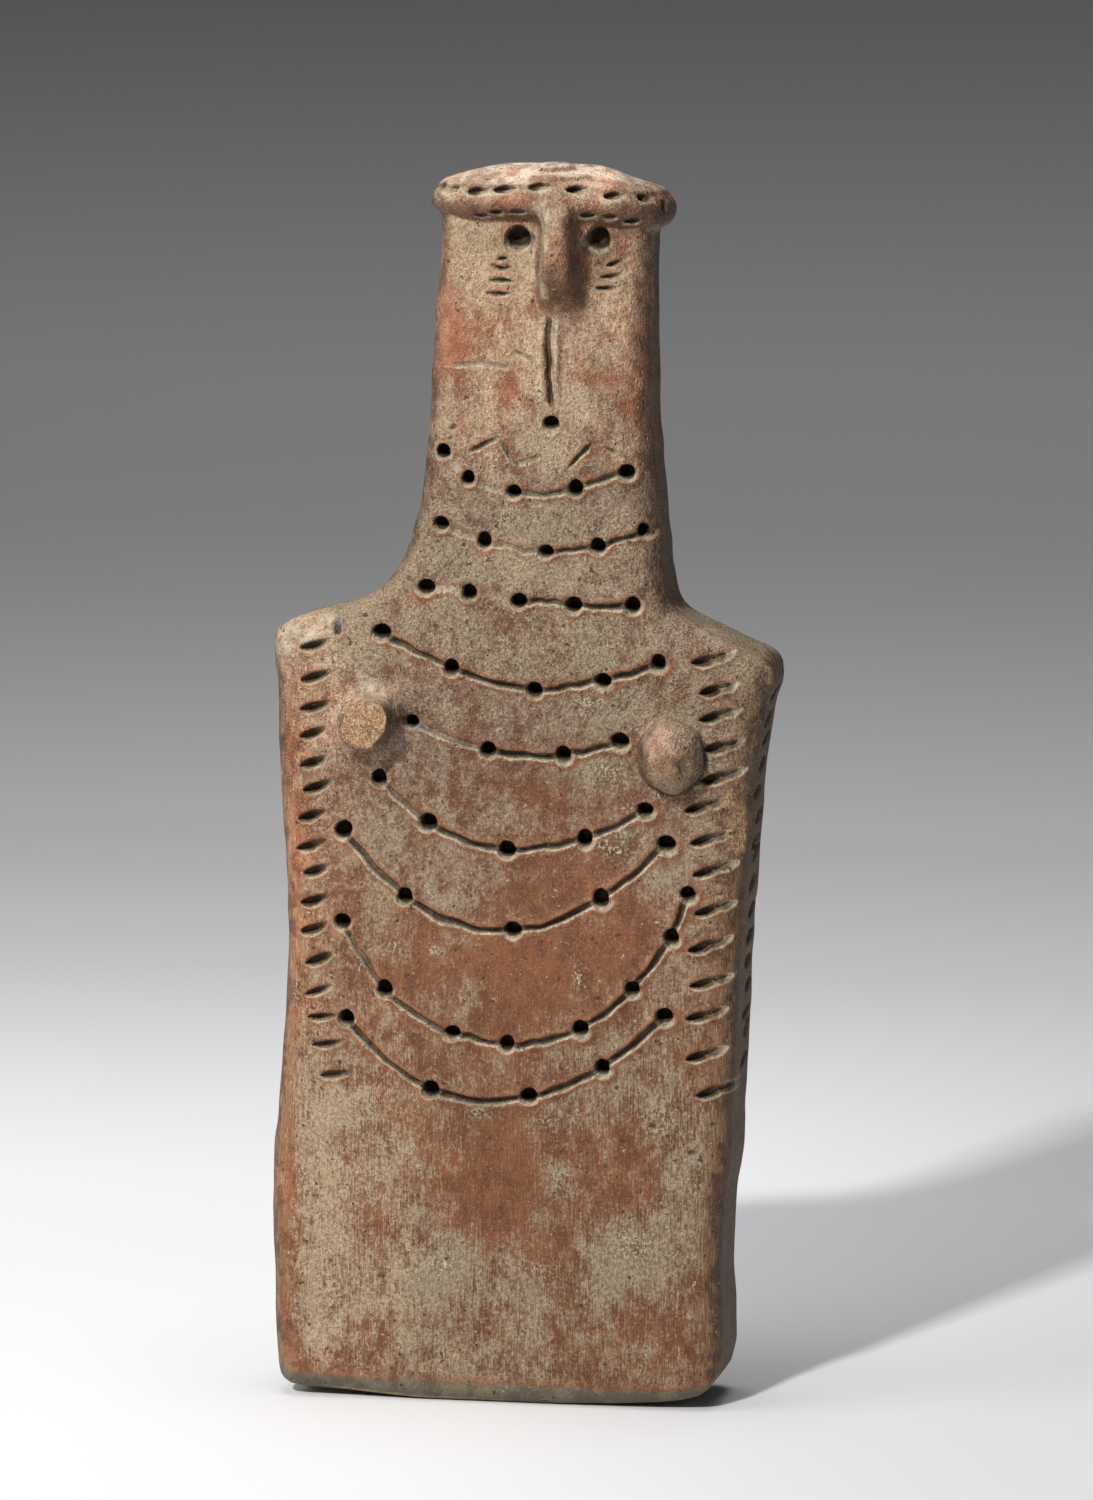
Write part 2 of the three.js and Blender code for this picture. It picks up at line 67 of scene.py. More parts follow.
# holes of each necklace (x, z), its sag, skew and how boxy it is; then, per gap between holes,
# how strongly the line is cut (0 none, 1 full) and how far pale deposit fills it
ROWS = [
    dict(holes=[(-14.6, 200.3), (-9.4, 194.9), (0.3, 192.2), (13.3, 192.9), (24.2, 196.4)], sag=6.8, skew=-.46, p=2.0,
         r=1.62, cut=[.35, .45, .75, .85], fill=[.8, .7, .35, .2]),
    dict(holes=[(-15.1, 185.2), (-5.8, 181.9), (7.3, 179.8), (18.2, 181.1), (28.1, 184.4)], sag=4.88, skew=.08, p=2.0,
         r=1.55, cut=[.4, .6, .95, 1.0], fill=[.6, .4, .2, .1]),
    dict(holes=[(-18.2, 172.0), (-9.0, 171.1), (1.7, 169.6), (13.2, 168.8), (25.6, 168.8)], sag=.88, skew=.83, p=2.0,
         r=1.65, cut=[.5, .12, .9, 1.0], fill=[.9, .8, .1, .1]),
    dict(holes=[(-27.5, 162.5), (-12.5, 155.5), (5.1, 151.1), (19.5, 153.3), (31.1, 157.2)], sag=8.05, skew=.07, p=2.0,
         r=1.8, cut=[.95, 1.0, 1.0, 1.0], fill=[.1, .1, .1, .1]),
    dict(holes=[(-20.9, 144.1, 0.76), (-4.7, 138.4), (11.2, 137.7), (23.1, 140.9)], sag=5.03, skew=.09, p=2.0,
         r=1.75, cut=[.75, 1.0, .95], fill=[.5, .1, .1]),
    dict(holes=[(-27.9, 132.1), (-17.5, 122.9), (-0.6, 117.6), (15.8, 120.3), (28.5, 126.6)], sag=11.88, skew=-.19, p=2.0,
         r=1.8, cut=[.8, 1.0, 1.0, .95], fill=[.3, .1, .1, .2]),
    dict(holes=[(-35.6, 120.9), (-22.5, 107.3), (0.6, 100.8), (19.3, 107.8), (33.0, 119.6)], sag=19.86, skew=-.11, p=2.0,
         r=1.85, cut=[.95, 1.0, 1.0, .95], fill=[.15, .1, .1, .2]),
    dict(holes=[(-35.9, 101.6), (-26.7, 87.6), (-12.3, 78.9), (-0.6, 76.9), (15.0, 80.4), (25.9, 89.1), (34.0, 100.0),
                (37.5, 109.2)], sag=27.5, skew=.1, p=2.4,
         r=1.7, cut=[.85, .85, .95, .95, 1.0, 1.0, .95], fill=[.3, .2, .1, .1, .1, .1, .1]),
    dict(holes=[(-35.0, 81.3), (-16.9, 66.7), (4.1, 66.0), (19.7, 72.4), (32.6, 83.5)], sag=17.91, skew=-.13, p=2.1,
         r=1.75, cut=[1.0, 1.0, 1.0, 1.0], fill=[.1, .1, .1, .1]),
]

# pressed dashes beside the edges: x, z
DASH_L = [(-41.6, 159.5), (-41.4, 152.9), (-41.5, 146.7), (-41.9, 141.1), (-41.8, 134.9), (-41.0, 129.9),
          (-42.3, 123.6), (-42.5, 117.4), (-41.3, 112.2), (-41.7, 105.8), (-42.0, 99.8), (-40.8, 93.4), (-40.6, 86.9),
          (-40.0, 81.2), (-38.7, 75.6), (-37.2, 69.1)]
DASH_R = [(41.8, 157.9), (43.3, 151.8), (43.5, 146.4), (44.4, 139.9), (44.2, 133.7), (40.7, 127.5), (42.0, 120.8),
          (42.6, 114.3), (42.7, 106.2), (41.6, 98.5), (42.1, 90.8), (41.1, 83.8), (40.8, 75.5), (43.4, 68.0)]
DENTS = [149.9, 144.7, 140.5, 135.1, 129.6, 124.0, 118.7, 116.4, 110.2, 104.3, 98.6, 93.4, 88.2, 82.7, 79.2, 72.5]

# ------------------------------------------------------------------ helpers
def ease(a, b, v):
    t = np.clip((v - a) / (b - a), 0.0, 1.0)
    return t * t * (3 - 2 * t)


def soft_max(a, b, k):
    h = np.maximum(k - np.abs(a - b), 0.0) / k
    return np.maximum(a, b) + h * h * k * 0.25


def soft_min(a, b, k):
    return -soft_max(-a, -b, k)


def monotone(table, col, at):
    """Smooth interpolation in a table that never overshoots between its rows."""
    x, y = table[:, 0], table[:, col]
    s = np.diff(y) / np.diff(x)
    m = np.zeros_like(y)
    a, b = s[:-1], s[1:]
    with np.errstate(divide="ignore", invalid="ignore"):
        m[1:-1] = np.where(a * b > 0, 2 * a * b / (a + b), 0.0)
    m[0], m[-1] = s[0], s[-1]
    at = np.clip(at, x[0], x[-1])
    i = np.clip(np.searchsorted(x, at) - 1, 0, len(x) - 2)
    h = x[i + 1] - x[i]
    t = (at - x[i]) / h
    return ((2 * t**3 - 3 * t**2 + 1) * y[i] + (t**3 - 2 * t**2 + t) * h * m[i]
            + (3 * t**2 - 2 * t**3) * y[i + 1] + (t**3 - t**2) * h * m[i + 1])


def spline_weights(coords, cell, pad=2):
    """Weights of a uniform cubic spline with knots every cell, for each coordinate."""
    lo = math.floor(coords.min() / cell) - pad
    u = coords / cell - lo
    i = np.floor(u).astype(int)
    t = u - i
    n = int(i.max()) + 4
    w = np.zeros((len(coords), n), np.float32)
    r = np.arange(len(coords))
    w[r, i - 1] = (1 - t) ** 3 / 6
    w[r, i] = (3 * t**3 - 6 * t**2 + 4) / 6
    w[r, i + 1] = (-3 * t**3 + 3 * t**2 + 3 * t + 1) / 6
    w[r, i + 2] = t**3 / 6
    return w


def noise3(xs, ys, zs, cell, seed):
    """Smooth noise on a box grid, about -1 to 1; cell may differ along each axis."""
    rng = np.random.default_rng(seed)
    wx, wy, wz = (spline_weights(a, c) for a, c in zip((xs, ys, zs), cell))
    lat = rng.uniform(-1, 1, (wx.shape[1], wy.shape[1], wz.shape[1])).astype(np.float32) * 1.9
    out = np.tensordot(wx, lat, (1, 0))
    out = np.einsum("aij,bi->abj", out, wy, optimize=True)
    return out @ wz.T


def noise2(us, vs, cell, seed):
    rng = np.random.default_rng(seed)
    wu, wv = spline_weights(us, cell[0]), spline_weights(vs, cell[1])
    lat = rng.uniform(-1, 1, (wu.shape[1], wv.shape[1])).astype(np.float32) * 1.7
    return wu @ lat @ wv.T


# ------------------------------------------------------------------ grid
h = VOXEL
xs = np.arange(-56.0, 58.5, h, dtype=np.float32)
ys = np.arange(-26.5, 18.5, h, dtype=np.float32)
zs = np.arange(-2.5, 263.0, h, dtype=np.float32)
X2, Z2 = xs[:, None], zs[None, :]
nx, ny, nz = len(xs), len(ys), len(zs)


def near(x0, x1, z0, z1):
    """The window of the front map around a feature."""
    i = slice(max(0, int((x0 - xs[0]) / h)), min(nx, int((x1 - xs[0]) / h) + 2))
    k = slice(max(0, int((z0 - zs[0]) / h)), min(nz, int((z1 - zs[0]) / h) + 2))
    return (i, k), xs[i][:, None], zs[k][None, :]


# ---- signed distance to the outline seen from the front
zt = np.concatenate([np.arange(-14, 156, 1.7), np.arange(156, 182, 0.6), np.arange(182, 253, 1.7)])
wob = np.random.default_rng(5)
left = np.stack([monotone(OUTLINE, 1, zt), zt], 1)
right = np.stack([monotone(OUTLINE, 2, zt), zt], 1)
left[:, 0] += np.interp(zt, np.arange(-14, 256, 4.5), wob.normal(0, 0.12, 60))
right[:, 0] += np.interp(zt, np.arange(-14, 256, 4.5), wob.normal(0, 0.12, 60))
loop = np.concatenate([left, right[::-1]])


def outline_distance(px, pz):
    best = np.full(np.broadcast(px, pz).shape, 1e9, np.float32)
    a, b = loop, np.roll(loop, -1, axis=0)
    for (ax, az), (bx, bz) in zip(a, b):
        ex, ez = bx - ax, bz - az
        t = np.clip(((px - ax) * ex + (pz - az) * ez) / (ex * ex + ez * ez + 1e-12), 0, 1)
        np.minimum(best, (px - ax - t * ex) ** 2 + (pz - az - t * ez) ** 2, out=best)
    lx = np.interp(pz[0], zt, left[:, 0])[None, :]
    rx = np.interp(pz[0], zt, right[:, 0])[None, :]
    inside = (px > lx) & (px < rx) & (pz > zt[0]) & (pz < zt[-1])
    return np.where(inside, -1.0, 1.0).astype(np.float32) * np.sqrt(best)


# coarse first, then smoothly enlarged: the distance itself is smooth
cs = 1.0
cx, cz = np.arange(-58, 61, cs, dtype=np.float32), np.arange(-5, 266, cs, dtype=np.float32)
coarse = outline_distance(cx[:, None], cz[None, :])


def lift(grid, gx, gz, ux, uz):
    """Bilinear samples of a grid on the product of two axes."""
    def w(g, u):
        f = np.clip((u - g[0]) / (g[1] - g[0]), 0, len(g) - 1.001)
        i = f.astype(int)
        m = np.zeros((len(u), len(g)), np.float32)
        r = np.arange(len(u))
        m[r, i] = 1 - (f - i)
        m[r, i + 1] += f - i
        return m
    return w(gx, ux) @ grid @ w(gz, uz).T


S = lift(coarse, cx, cz, xs, zs)

# ------------------------------------------------------------------ front relief and its masks
R = np.zeros((nx, nz), np.float32)        # height added to the front
CUT = np.zeros((nx, nz), np.float32)      # in a pressed or cut hollow
LIP = np.zeros((nx, nz), np.float32)      # raised lips, where the red slip shows
CREAM = np.zeros((nx, nz), np.float32)    # pale fill
CHIP = np.zeros((nx, nz), np.float32)     # bare clay
CRUST = np.zeros((nx, nz), np.float32)    # small lumpy crusts of deposit
DUST = np.zeros((nx, nz), np.float32)     # extra (or less) pale deposit
TONE_AND_LIGHT = np.zeros((nx, nz), np.float32)     # lighter and warmer (+) or duller (-) broad areas, partly real tone and partly painted light
LS = np.full((nx, nz), 5.0, np.float32)   # distance to the nearest cut line, + on its upper side, its edge at 0.6
LON = np.zeros((nx, nz), np.float32)      # how strongly it is cut there
LFILL = np.zeros((nx, nz), np.float32)    # how far it is filled up
PS = np.full((nx, nz), 3.0, np.float32)   # distance to the outline of the nearest dash, - inside
PV = np.zeros((nx, nz), np.float32)       # + above its middle line, - below
PP = np.zeros((nx, nz), np.float32)       # filled with pale deposit
PON = np.zeros((nx, nz), np.float32)      # how deep it is pressed
RS = np.full((nx, nz), 4.0, np.float32)   # distance to the rim of the nearest hole
RT = np.zeros((nx, nz), np.float32)       # + on the side where most clay was pushed up
RB = np.zeros((nx, nz), np.float32)       # + below the hole
ROSE = np.zeros((nx, nz), np.float32)     # pinkish slip under a thin veil of deposit

jit = noise2(xs, zs, (1.7, 1.7), 31)
jit2 = noise2(xs, zs, (4.5, 4.5), 32)
rng = np.random.default_rng(11)


def up(dst, win, val):
    dst[win] = np.maximum(dst[win], val)


def groove(pts, cut=1.0, fill=0.0, width=1.4, depth=1.5, lip=(0.34, 0.40), taper=1.6):
    """A line cut along a path with a blunt point, and the clay it pushed up on both sides."""
    pts = np.asarray(pts, float)
    win, gx, gz = near(pts[:, 0].min() - 6, pts[:, 0].max() + 6, pts[:, 1].min() - 6, pts[:, 1].max() + 6)
    best = np.full(np.broadcast(gx, gz).shape, 1e9)
    side = np.zeros_like(best)
    along = np.zeros_like(best)
    step = np.hypot(*np.diff(pts, axis=0).T)
    run = np.concatenate([[0], np.cumsum(step)])
    for i, (a, b) in enumerate(zip(pts[:-1], pts[1:])):
        e = b - a
        t = np.clip(((gx - a[0]) * e[0] + (gz - a[1]) * e[1]) / (e @ e), 0, 1)
        dx, dz = gx - a[0] - t * e[0], gz - a[1] - t * e[1]
        d2 = dx * dx + dz * dz
        m = d2 < best
        best = np.where(m, d2, best)
        side = np.where(m, np.sign(e[0] * dz - e[1] * dx), side)
        along = np.where(m, run[i] + t * step[i], along)
    s = np.sqrt(best) * side
    j, j2 = jit[win], jit2[win]
    ends = ease(-0.1, taper, along) * ease(-0.1, taper, run[-1] - along)
    wear = np.interp(along, np.linspace(0, run[-1], 6), rng.uniform(0.78, 1.18, 6))
    amount = cut * (1 + 0.22 * j2) * (0.30 + 0.70 * ends)
    w = width / 2 * (1 + 0.14 * j2) * (0.55 + 0.45 * min(1.0, cut + 0.2)) * (0.42 + 0.58 * ends) * wear
    s = s + 0.10 * j
    above, below = np.clip(s / (w * 0.86), 0, 1), np.clip(-s / (w * 1.14), 0, 1)
    bowl = np.where(s > 0, 1 - above**3.8, 1 - below**1.8)
    d = depth * amount * (1 - 0.62 * fill)
    R[win] -= d * bowl
    hi = np.exp(-(((s - w * 0.86 - 0.50) / 0.46) ** 2)) * lip[0] * (0.8 + 0.6 * j)
    lo = np.exp(-(((-s - w * 1.14 - 0.46) / 0.48) ** 2)) * lip[1] * (0.85 + 0.6 * j)
    reach = np.exp(-(np.maximum(0, np.sqrt(best) - 2.6)) ** 2)
    R[win] += np.clip(hi + lo, 0, None) * amount * reach * (0.3 + 0.7 * ends)
    u = np.where(np.abs(s) < w, s * 0.6 / w, s - np.sign(s) * (w - 0.6))
    on = np.clip(amount * 1.15, 0, 1) * ends**0.6 * ease(2.4, 1.8, np.abs(u))
    m = np.abs(u) < np.abs(LS[win])
    LS[win] = np.where(m, u, LS[win])
    LON[win] = np.where(m, on, LON[win])
    LFILL[win] = np.where(m, np.clip(fill + 0.5 * fill * j2, 0, 1), LFILL[win])


def leaf(x0, z0, angle, length, width, depth, deep_end=-0.25, pale=0.0, lip=0.22, bend=0.10):
    """A leaf-shaped stroke pressed with a pointed tool; deep_end < 0 puts the deepest part on the left."""
    a = math.radians(angle)
    win, gx, gz = near(x0 - length, x0 + length, z0 - length, z0 + length)
    u = (gx - x0) * math.cos(a) + (gz - z0) * math.sin(a)
    v = -(gx - x0) * math.sin(a) + (gz - z0) * math.cos(a)
    j = jit[win]
    v = v + 0.10 * j - bend * (u / length * 2) ** 2 * width
    q = np.clip(2 * u / length, -1, 1)
    half = width / 2 * np.sqrt(np.clip(1 - np.abs(q) ** 2.0, 0, 1)) * (1 - 0.22 * q)
    up_part = np.clip(v / (half * 0.9 + 1e-3), 0, 1)
    low_part = np.clip(-v / (half * 1.1 + 1e-3), 0, 1)
    bowl = np.where(v > 0, 1 - up_part**2.6, 1 - low_part**2.4) * (half > 0.05) * (np.abs(u) < length / 2)
    deep = np.clip(1 - 0.62 * np.abs(q - deep_end * 2) ** 1.6, 0.2, 1)
    R[win] -= depth * bowl * deep
    dist = np.sqrt(np.clip(np.abs(u) - length / 2, 0, None) ** 2 + np.clip(np.abs(v) - half, 0, None) ** 2)
    rim = np.exp(-(((dist - 0.5) / 0.42) ** 2)) * (dist > 0)
    R[win] += lip * rim * (1.0 - 0.35 * np.sign(v)) * (0.7 + 0.5 * j)
    sd = np.where(dist > 0, dist, np.abs(v) - half)
    m = sd < PS[win]
    PS[win] = np.where(m, sd, PS[win])
    PV[win] = np.where(m, np.clip(v / 0.5, -1, 1), PV[win])
    PP[win] = np.where(m, pale * ease(-0.15, 0.75, q), PP[win])
    PON[win] = np.where(m, deep * min(1.0, depth / 1.2), PON[win])


def ring(x0, z0, r, amp=0.42, facing=-55, wide=0.55, tint=1.0, stretch=1.0):
    """Clay pushed up round a punched hole, most on one side."""
    win, gx, gz = near(x0 - r - 4, x0 + r + 4, z0 - r - 4, z0 + r + 4)
    dx, dz = gx - x0, gz - z0
    rho = np.hypot(dx, dz) + 0.12 * jit[win]
    turn = np.cos(np.arctan2(dz, dx) - math.radians(facing))
    a = amp * (0.45 + 0.55 * np.clip(turn, -0.4, 1)) * (0.85 + 0.35 * jit2[win])
    crest = np.exp(-(((rho - r - 0.8) / wide) ** 2))
    level = ease(r + 0.2, r + 1.6, rho)
    R[win] = R[win] * (0.35 + 0.65 * level) + a * crest
    sd = rho - r
    sd = np.where(sd > 0, sd / (1 + (stretch - 1) * np.clip(turn, 0, 1)), sd)
    m = sd < RS[win]
    RS[win] = np.where(m, sd, RS[win])
    RT[win] = np.where(m, turn * tint, RT[win])
    RB[win] = np.where(m, -dz / (rho + 1e-3), RB[win])


def bump(x0, z0, rx, rz, amp, dst=None, rough=0.0, power=2.0):
    """A soft swelling (or hollow) of the front, or a patch in one of its masks."""
    dst = R if dst is None else dst
    win, gx, gz = near(x0 - 2.6 * rx, x0 + 2.6 * rx, z0 - 2.6 * rz, z0 + 2.6 * rz)
    q = np.hypot((gx - x0) / rx, (gz - z0) / rz)
    q = np.clip(q * (1 + 0.35 * jit2[win] + 0.15 * jit[win]), 0, None)
    dst[win] += amp * np.exp(-(q**power)) * (1 + rough * jit[win])


def curve_of(row, a, b, n=22):
    """The necklace between two of its holes, made to pass through both."""
    (lx, lz), (rx, rz) = row["holes"][0][:2], row["holes"][-1][:2]
    t = np.linspace((a[0] - lx) / (rx - lx), (b[0] - lx) / (rx - lx), n)
    u = 2 * t - 1
    x = lx + (rx - lx) * t
    z = lz + (rz - lz) * t - row["sag"] * (1 - np.abs(u) ** row["p"]) * (1 + row["skew"] * u)
    s = np.linspace(0, 1, n)
    z = z + (a[1] - z[0]) * (1 - s) + (b[1] - z[-1]) * s
    # the hand wavers a little
    wob = rng.normal(0, 0.22, 5)
    z = z + np.interp(s, np.linspace(0, 1, 7), np.concatenate([[0], wob, [0]]))
    return np.stack([x, z], 1)


punches = []      # x, z, radius, depth, tilt x, tilt z
for row in ROWS:
    for i in range(len(row["holes"]) - 1):
        a, b = row["holes"][i], row["holes"][i + 1]
        if row["cut"][i] > 0.05:
            groove(curve_of(row, a, b), row["cut"][i], row["fill"][i])
for row in ROWS:
    for x0, z0, *size in row["holes"]:
        r = row["r"] * rng.uniform(0.88, 1.0) * (size[0] if size else 1.0)
        big = 1.0 if x0 > 6 and z0 < 168 else 0.0
        ring(x0, z0, r, amp=(0.50 + 0.22 * big) * rng.uniform(0.7, 1.3), facing=-60 + 14 * big + rng.uniform(-25, 25) * (1 - 0.4 * big),
             wide=0.62 + 0.20 * big, stretch=1 + 0.55 * big)
        punches.append((x0, z0, r, rng.uniform(4.0, 5.0), rng.uniform(-.08, .08), rng.uniform(-.02, .14)))
for x0, z0, r in EYES:
    ring(x0, z0, r, amp=0.22, facing=-60, wide=0.7, tint=-0.6)
    punches.append((x0, z0, r, 3.9, 0.0, 0.10))
punches.append((*CHIN, 3.6, 0.0, 0.1))

# mouth slit with the clay raised in a thin ridge on both sides of it, drawn upwards
groove([(8.3, 209.6), (7.9, 213.0), (7.6, 216.4), (7.7, 219.2), (7.4, 222.0), (7.5, 224.8), (8.2, 229.0)], 1.0, 0.05, width=1.3,
       depth=1.8, lip=(0.18, 0.18), taper=1.4)
for ridge, width in (([(6.5, 211.5), (6.2, 216.0), (6.2, 220.0), (6.2, 224.0), (6.7, 228.0)], 0.5),
                     ([(9.7, 211.5), (9.4, 216.0), (9.5, 221.0), (9.5, 225.0), (10.1, 230.0)], 0.6)):
    ridge = np.array(ridge)
    win, gx, gz = near(3, 14, 208, 232)
    xr = np.interp(gz, ridge[:, 1], ridge[:, 0])
    inside = ease(ridge[0, 1] - 1.5, ridge[0, 1] + 0.5, gz) * ease(ridge[-1, 1] + 1.5, ridge[-1, 1] - 0.5, gz)
    up(LIP, win, np.exp(-(((gx - xr - 0.5) / 0.4) ** 2)) * inside * (0.35 + 0.4 * jit2[win]))
    up(CREAM, win, np.exp(-(((gx - xr + 0.15) / 0.5) ** 2)) * inside * (0.62 + 0.35 * jit[win]))
    R[win] += 0.66 * np.exp(-(((gx - xr) / width) ** 2)) * inside * (0.8 + 0.5 * jit[win])
# scratches on the cheeks and neck
groove([(-14.3, 217.9), (-11.0, 218.2), (-7.2, 218.6), (-3.0, 218.2), (0.6, 217.5)], 0.75, 0.55, width=0.9, depth=0.8,
       lip=(0.1, 0.26), taper=2.5)
groove([(-0.4, 221.5), (2.6, 220.2), (5.6, 218.9)], 0.8, 0.60, width=1.1, depth=0.8, lip=(0.1, 0.36))
for a, b, c, f in [((-9.6, 199.9), (-2.7, 203.3), .95, .1), ((-2.6, 203.2), (0.1, 197.6), .95, .3),
                   ((0.1, 197.5), (6.8, 199.8), .7, .5), ((11.5, 196.6), (16.9, 202.5), 1.0, .05),
                   ((16.9, 202.5), (19.2, 201.6), .3, .7), ((19.4, 201.5), (22.4, 200.0), .9, .1), ((22.6, 199.8), (25.8, 198.4), .75, .3)]:
    m = ((a[0] + b[0]) / 2 + rng.uniform(-.2, .2), (a[1] + b[1]) / 2 + rng.uniform(-.2, .2))
    groove([a, m, b], c, f, width=1.2, depth=1.15, lip=(0.18, 0.26), taper=2.2)
for x0, z0, L, ang, wide, bent in [(-2.1, 240.2, 2.2, 6, 1.1, 0.1), (-2.2, 238.1, 4.6, -3, 1.0, 0.8),
                                   (-2.2, 235.7, 5.2, -3, 1.3, -0.1), (-2.8, 233.0, 5.2, -1, 1.25, 0.05)]:
    leaf(x0, z0, ang, L, wide, 1.6, deep_end=0.0, pale=0.0, lip=0.16, bend=bent)
for x0, z0, L, ang in [(22.1, 239.7, 5.0, 22), (21.5, 236.9, 5.9, 9), (20.4, 234.3, 5.8, 5)]:
    leaf(x0, z0, ang, L, 1.3, 1.7, deep_end=-0.32, pale=0.55, lip=0.18)
groove([(16.8, 230.8), (19.0, 231.4), (21.6, 230.8)], 0.35, 0.9, width=1.2, depth=0.5, lip=(0.1, 0.24))
# a scratched arc round the upper left of the right eye
groove([(14.6, 242.2), (14.5, 244.6), (15.4, 246.8), (17.3, 248.0)], 0.4, 0.6, width=0.8, depth=0.5, lip=(0.16, 0.14))

for i, (x0, z0) in enumerate(DASH_L):
    leaf(x0, z0, 22 + rng.uniform(-5, 4) if i < 13 else 8 + rng.uniform(-4, 4), 6.7 + rng.uniform(-.5, .6),
         (2.25 if i < 12 else 1.7) + rng.uniform(-.15, .2), 2.8 if i < 12 else 2.0, deep_end=-0.16,
         pale=0.45 if i in (0, 4, 8, 12) else 0.05)
for i, (x0, z0) in enumerate(DASH_R):
    leaf(x0 - 0.3, z0 - 0.1, 20 + rng.uniform(-5, 5), 7.0 + rng.uniform(-.5, .9), 2.35 + rng.uniform(-.2, .2), 2.8,
         deep_end=-0.32, pale=0.35, lip=0.26)
    leaf(x0 + 2.7, z0 + 0.7, 15 + rng.uniform(-6, 8), 4.6 + rng.uniform(-.6, 1.0), 2.0, 0.8,
         deep_end=-0.1, pale=1.0, lip=0.30)
leaf(-37.0, 163.7, 100, 4.8, 1.6, 1.1, pale=0.35, lip=0.42)
leaf(40.9, 165.0, -58, 4.6, 2.2, 1.7, pale=1.0, lip=0.34)

# small pits and knocks
for x0, z0, r, d in [(-9.6, 211.3, .5, .9), (-12.3, 205.4, .55, .9), (-12.9, 204.9, .4, .6), (22.5, 226.2, .6, .4),
                     (-22.0, 173.4, .5, .7), (12.0, 160.5, .45, .5), (-7.0, 128.5, .5, .5), (30.3, 60.2, .5, .8),
                     (-11.5, 96.0, .5, .5), (20.5, 51.5, .5, .5), (-30.5, 47.0, .45, .4), (38.6, 54.9, .6, .9)]:
    bump(x0, z0, r * 1.2, r, -d, power=3.0)
    bump(x0, z0, r * 1.2, r, 0.8, CUT, power=3.0)

# where the pale deposit lies thicker (+) and where the slip shows through (-): x, z, half width, half height, amount
for x0, z0, rx, rz, amt in [
        (6.0, 94.0, 17.0, 12.0, -1.0), (-16.8, 96.5, 8.0, 9.5, -.75), (13.3, 108.5, 11.0, 6.5, -.5), (0.0, 119.0, 17.0, 5.0, -.35),
        (7.0, 129.5, 15.0, 4.5, -.45), (-13.0, 223.5, 4.6, 7.0, -.98), (-14.5, 236.0, 2.4, 5.0, -.5), (-.8, 213.5, 1.6, 3.2, -.8), (20.5, 215.6, 7.0, 2.0, -.7), (29.0, 226.0, 2.6, 20.0, -.35), (24.0, 210.0, 3.0, 4.0, -.4),
        (0.6, 45.0, 7.0, 15.0, -1.0), (-10.5, 47.0, 8.5, 11.0, -.5), (7.5, 34.0, 5.5, 5.5, -.55), (23.0, 50.0, 9.5, 9.5, -.5),
        (16.0, 58.5, 12.0, 5.0, -.3), (40.0, 73.0, 5.5, 7.0, -.4), (13.0, 212.0, 6.0, 4.0, .4), (8.0, 226.0, 3.0, 3.0, .35), (22.5, 236.0, 5.0, 9.0, .45), (2.0, 247.0, 18.0, 2.5, .35), (-22.0, 155.0, 9.0, 3.5, -.2),
        (-32.0, 108.0, 5.0, 8.0, -.3), (24.0, 96.0, 6.0, 9.0, -.45), (-47.6, 80.0, 2.6, 75.0, -.8), (43.0, 150.0, 5.0, 8.0, -.5),
        (30.0, 18.0, 10.0, 4.0, -.3), (-22.0, 60.0, 10.0, 3.0, -.2), (15.0, 14.0, 9.0, 5.0, -.25), (-28.0, 36.0, 4.0, 9.0, -.35),
        (-41.5, 44.0, 4.0, 12.0, .70), (-41.0, 17.0, 4.5, 9.0, .65), (-17.0, 28.5, 9.5, 5.5, .8), (-2.5, 24.5, 6.0, 3.2, .75),
        (26.5, 33.5, 8.5, 7.0, .9), (38.0, 54.0, 5.5, 14.0, .5), (-34.0, 61.0, 8.5, 3.2, .5), (14.0, 61.0, 8.0, 2.2, .45),
        (8.0, 182.0, 22.0, 13.0, .45), (37.5, 144.0, 6.0, 6.0, .5), (-3.0, 240.0, 12.0, 8.0, .6), (9.0, 200.0, 6.0, 4.0, .5),
        (-30.0, 158.0, 12.0, 6.0, .5), (-14.0, 205.0, 6.0, 8.0, .45), (17.5, 232.0, 5.0, 9.0, .4), (-7.0, 88.0, 4.0, 3.0, .35),
        (24.0, 121.5, 5.0, 2.2, .6), (34.6, 135.0, 4.2, 3.4, .6), (38.6, 139.6, 2.6, 4.0, .6), (15.5, 135.5, 4.0, 1.6, .7), (-13.0, 106.0, 6.0, 2.4, .35), (6.0, 22.0, 4.0, 3.0, .5),
        (-16.0, 96.0, 1.2, 1.0, 1.1), (33.0, 112.5, 5.0, 2.2, .6), (20.5, 26.5, 4.0, 3.0, .6), (-27.0, 54.5, 3.6, 1.0, .9)]:
    bump(x0, z0, rx, rz, amt, DUST, rough=0.35)
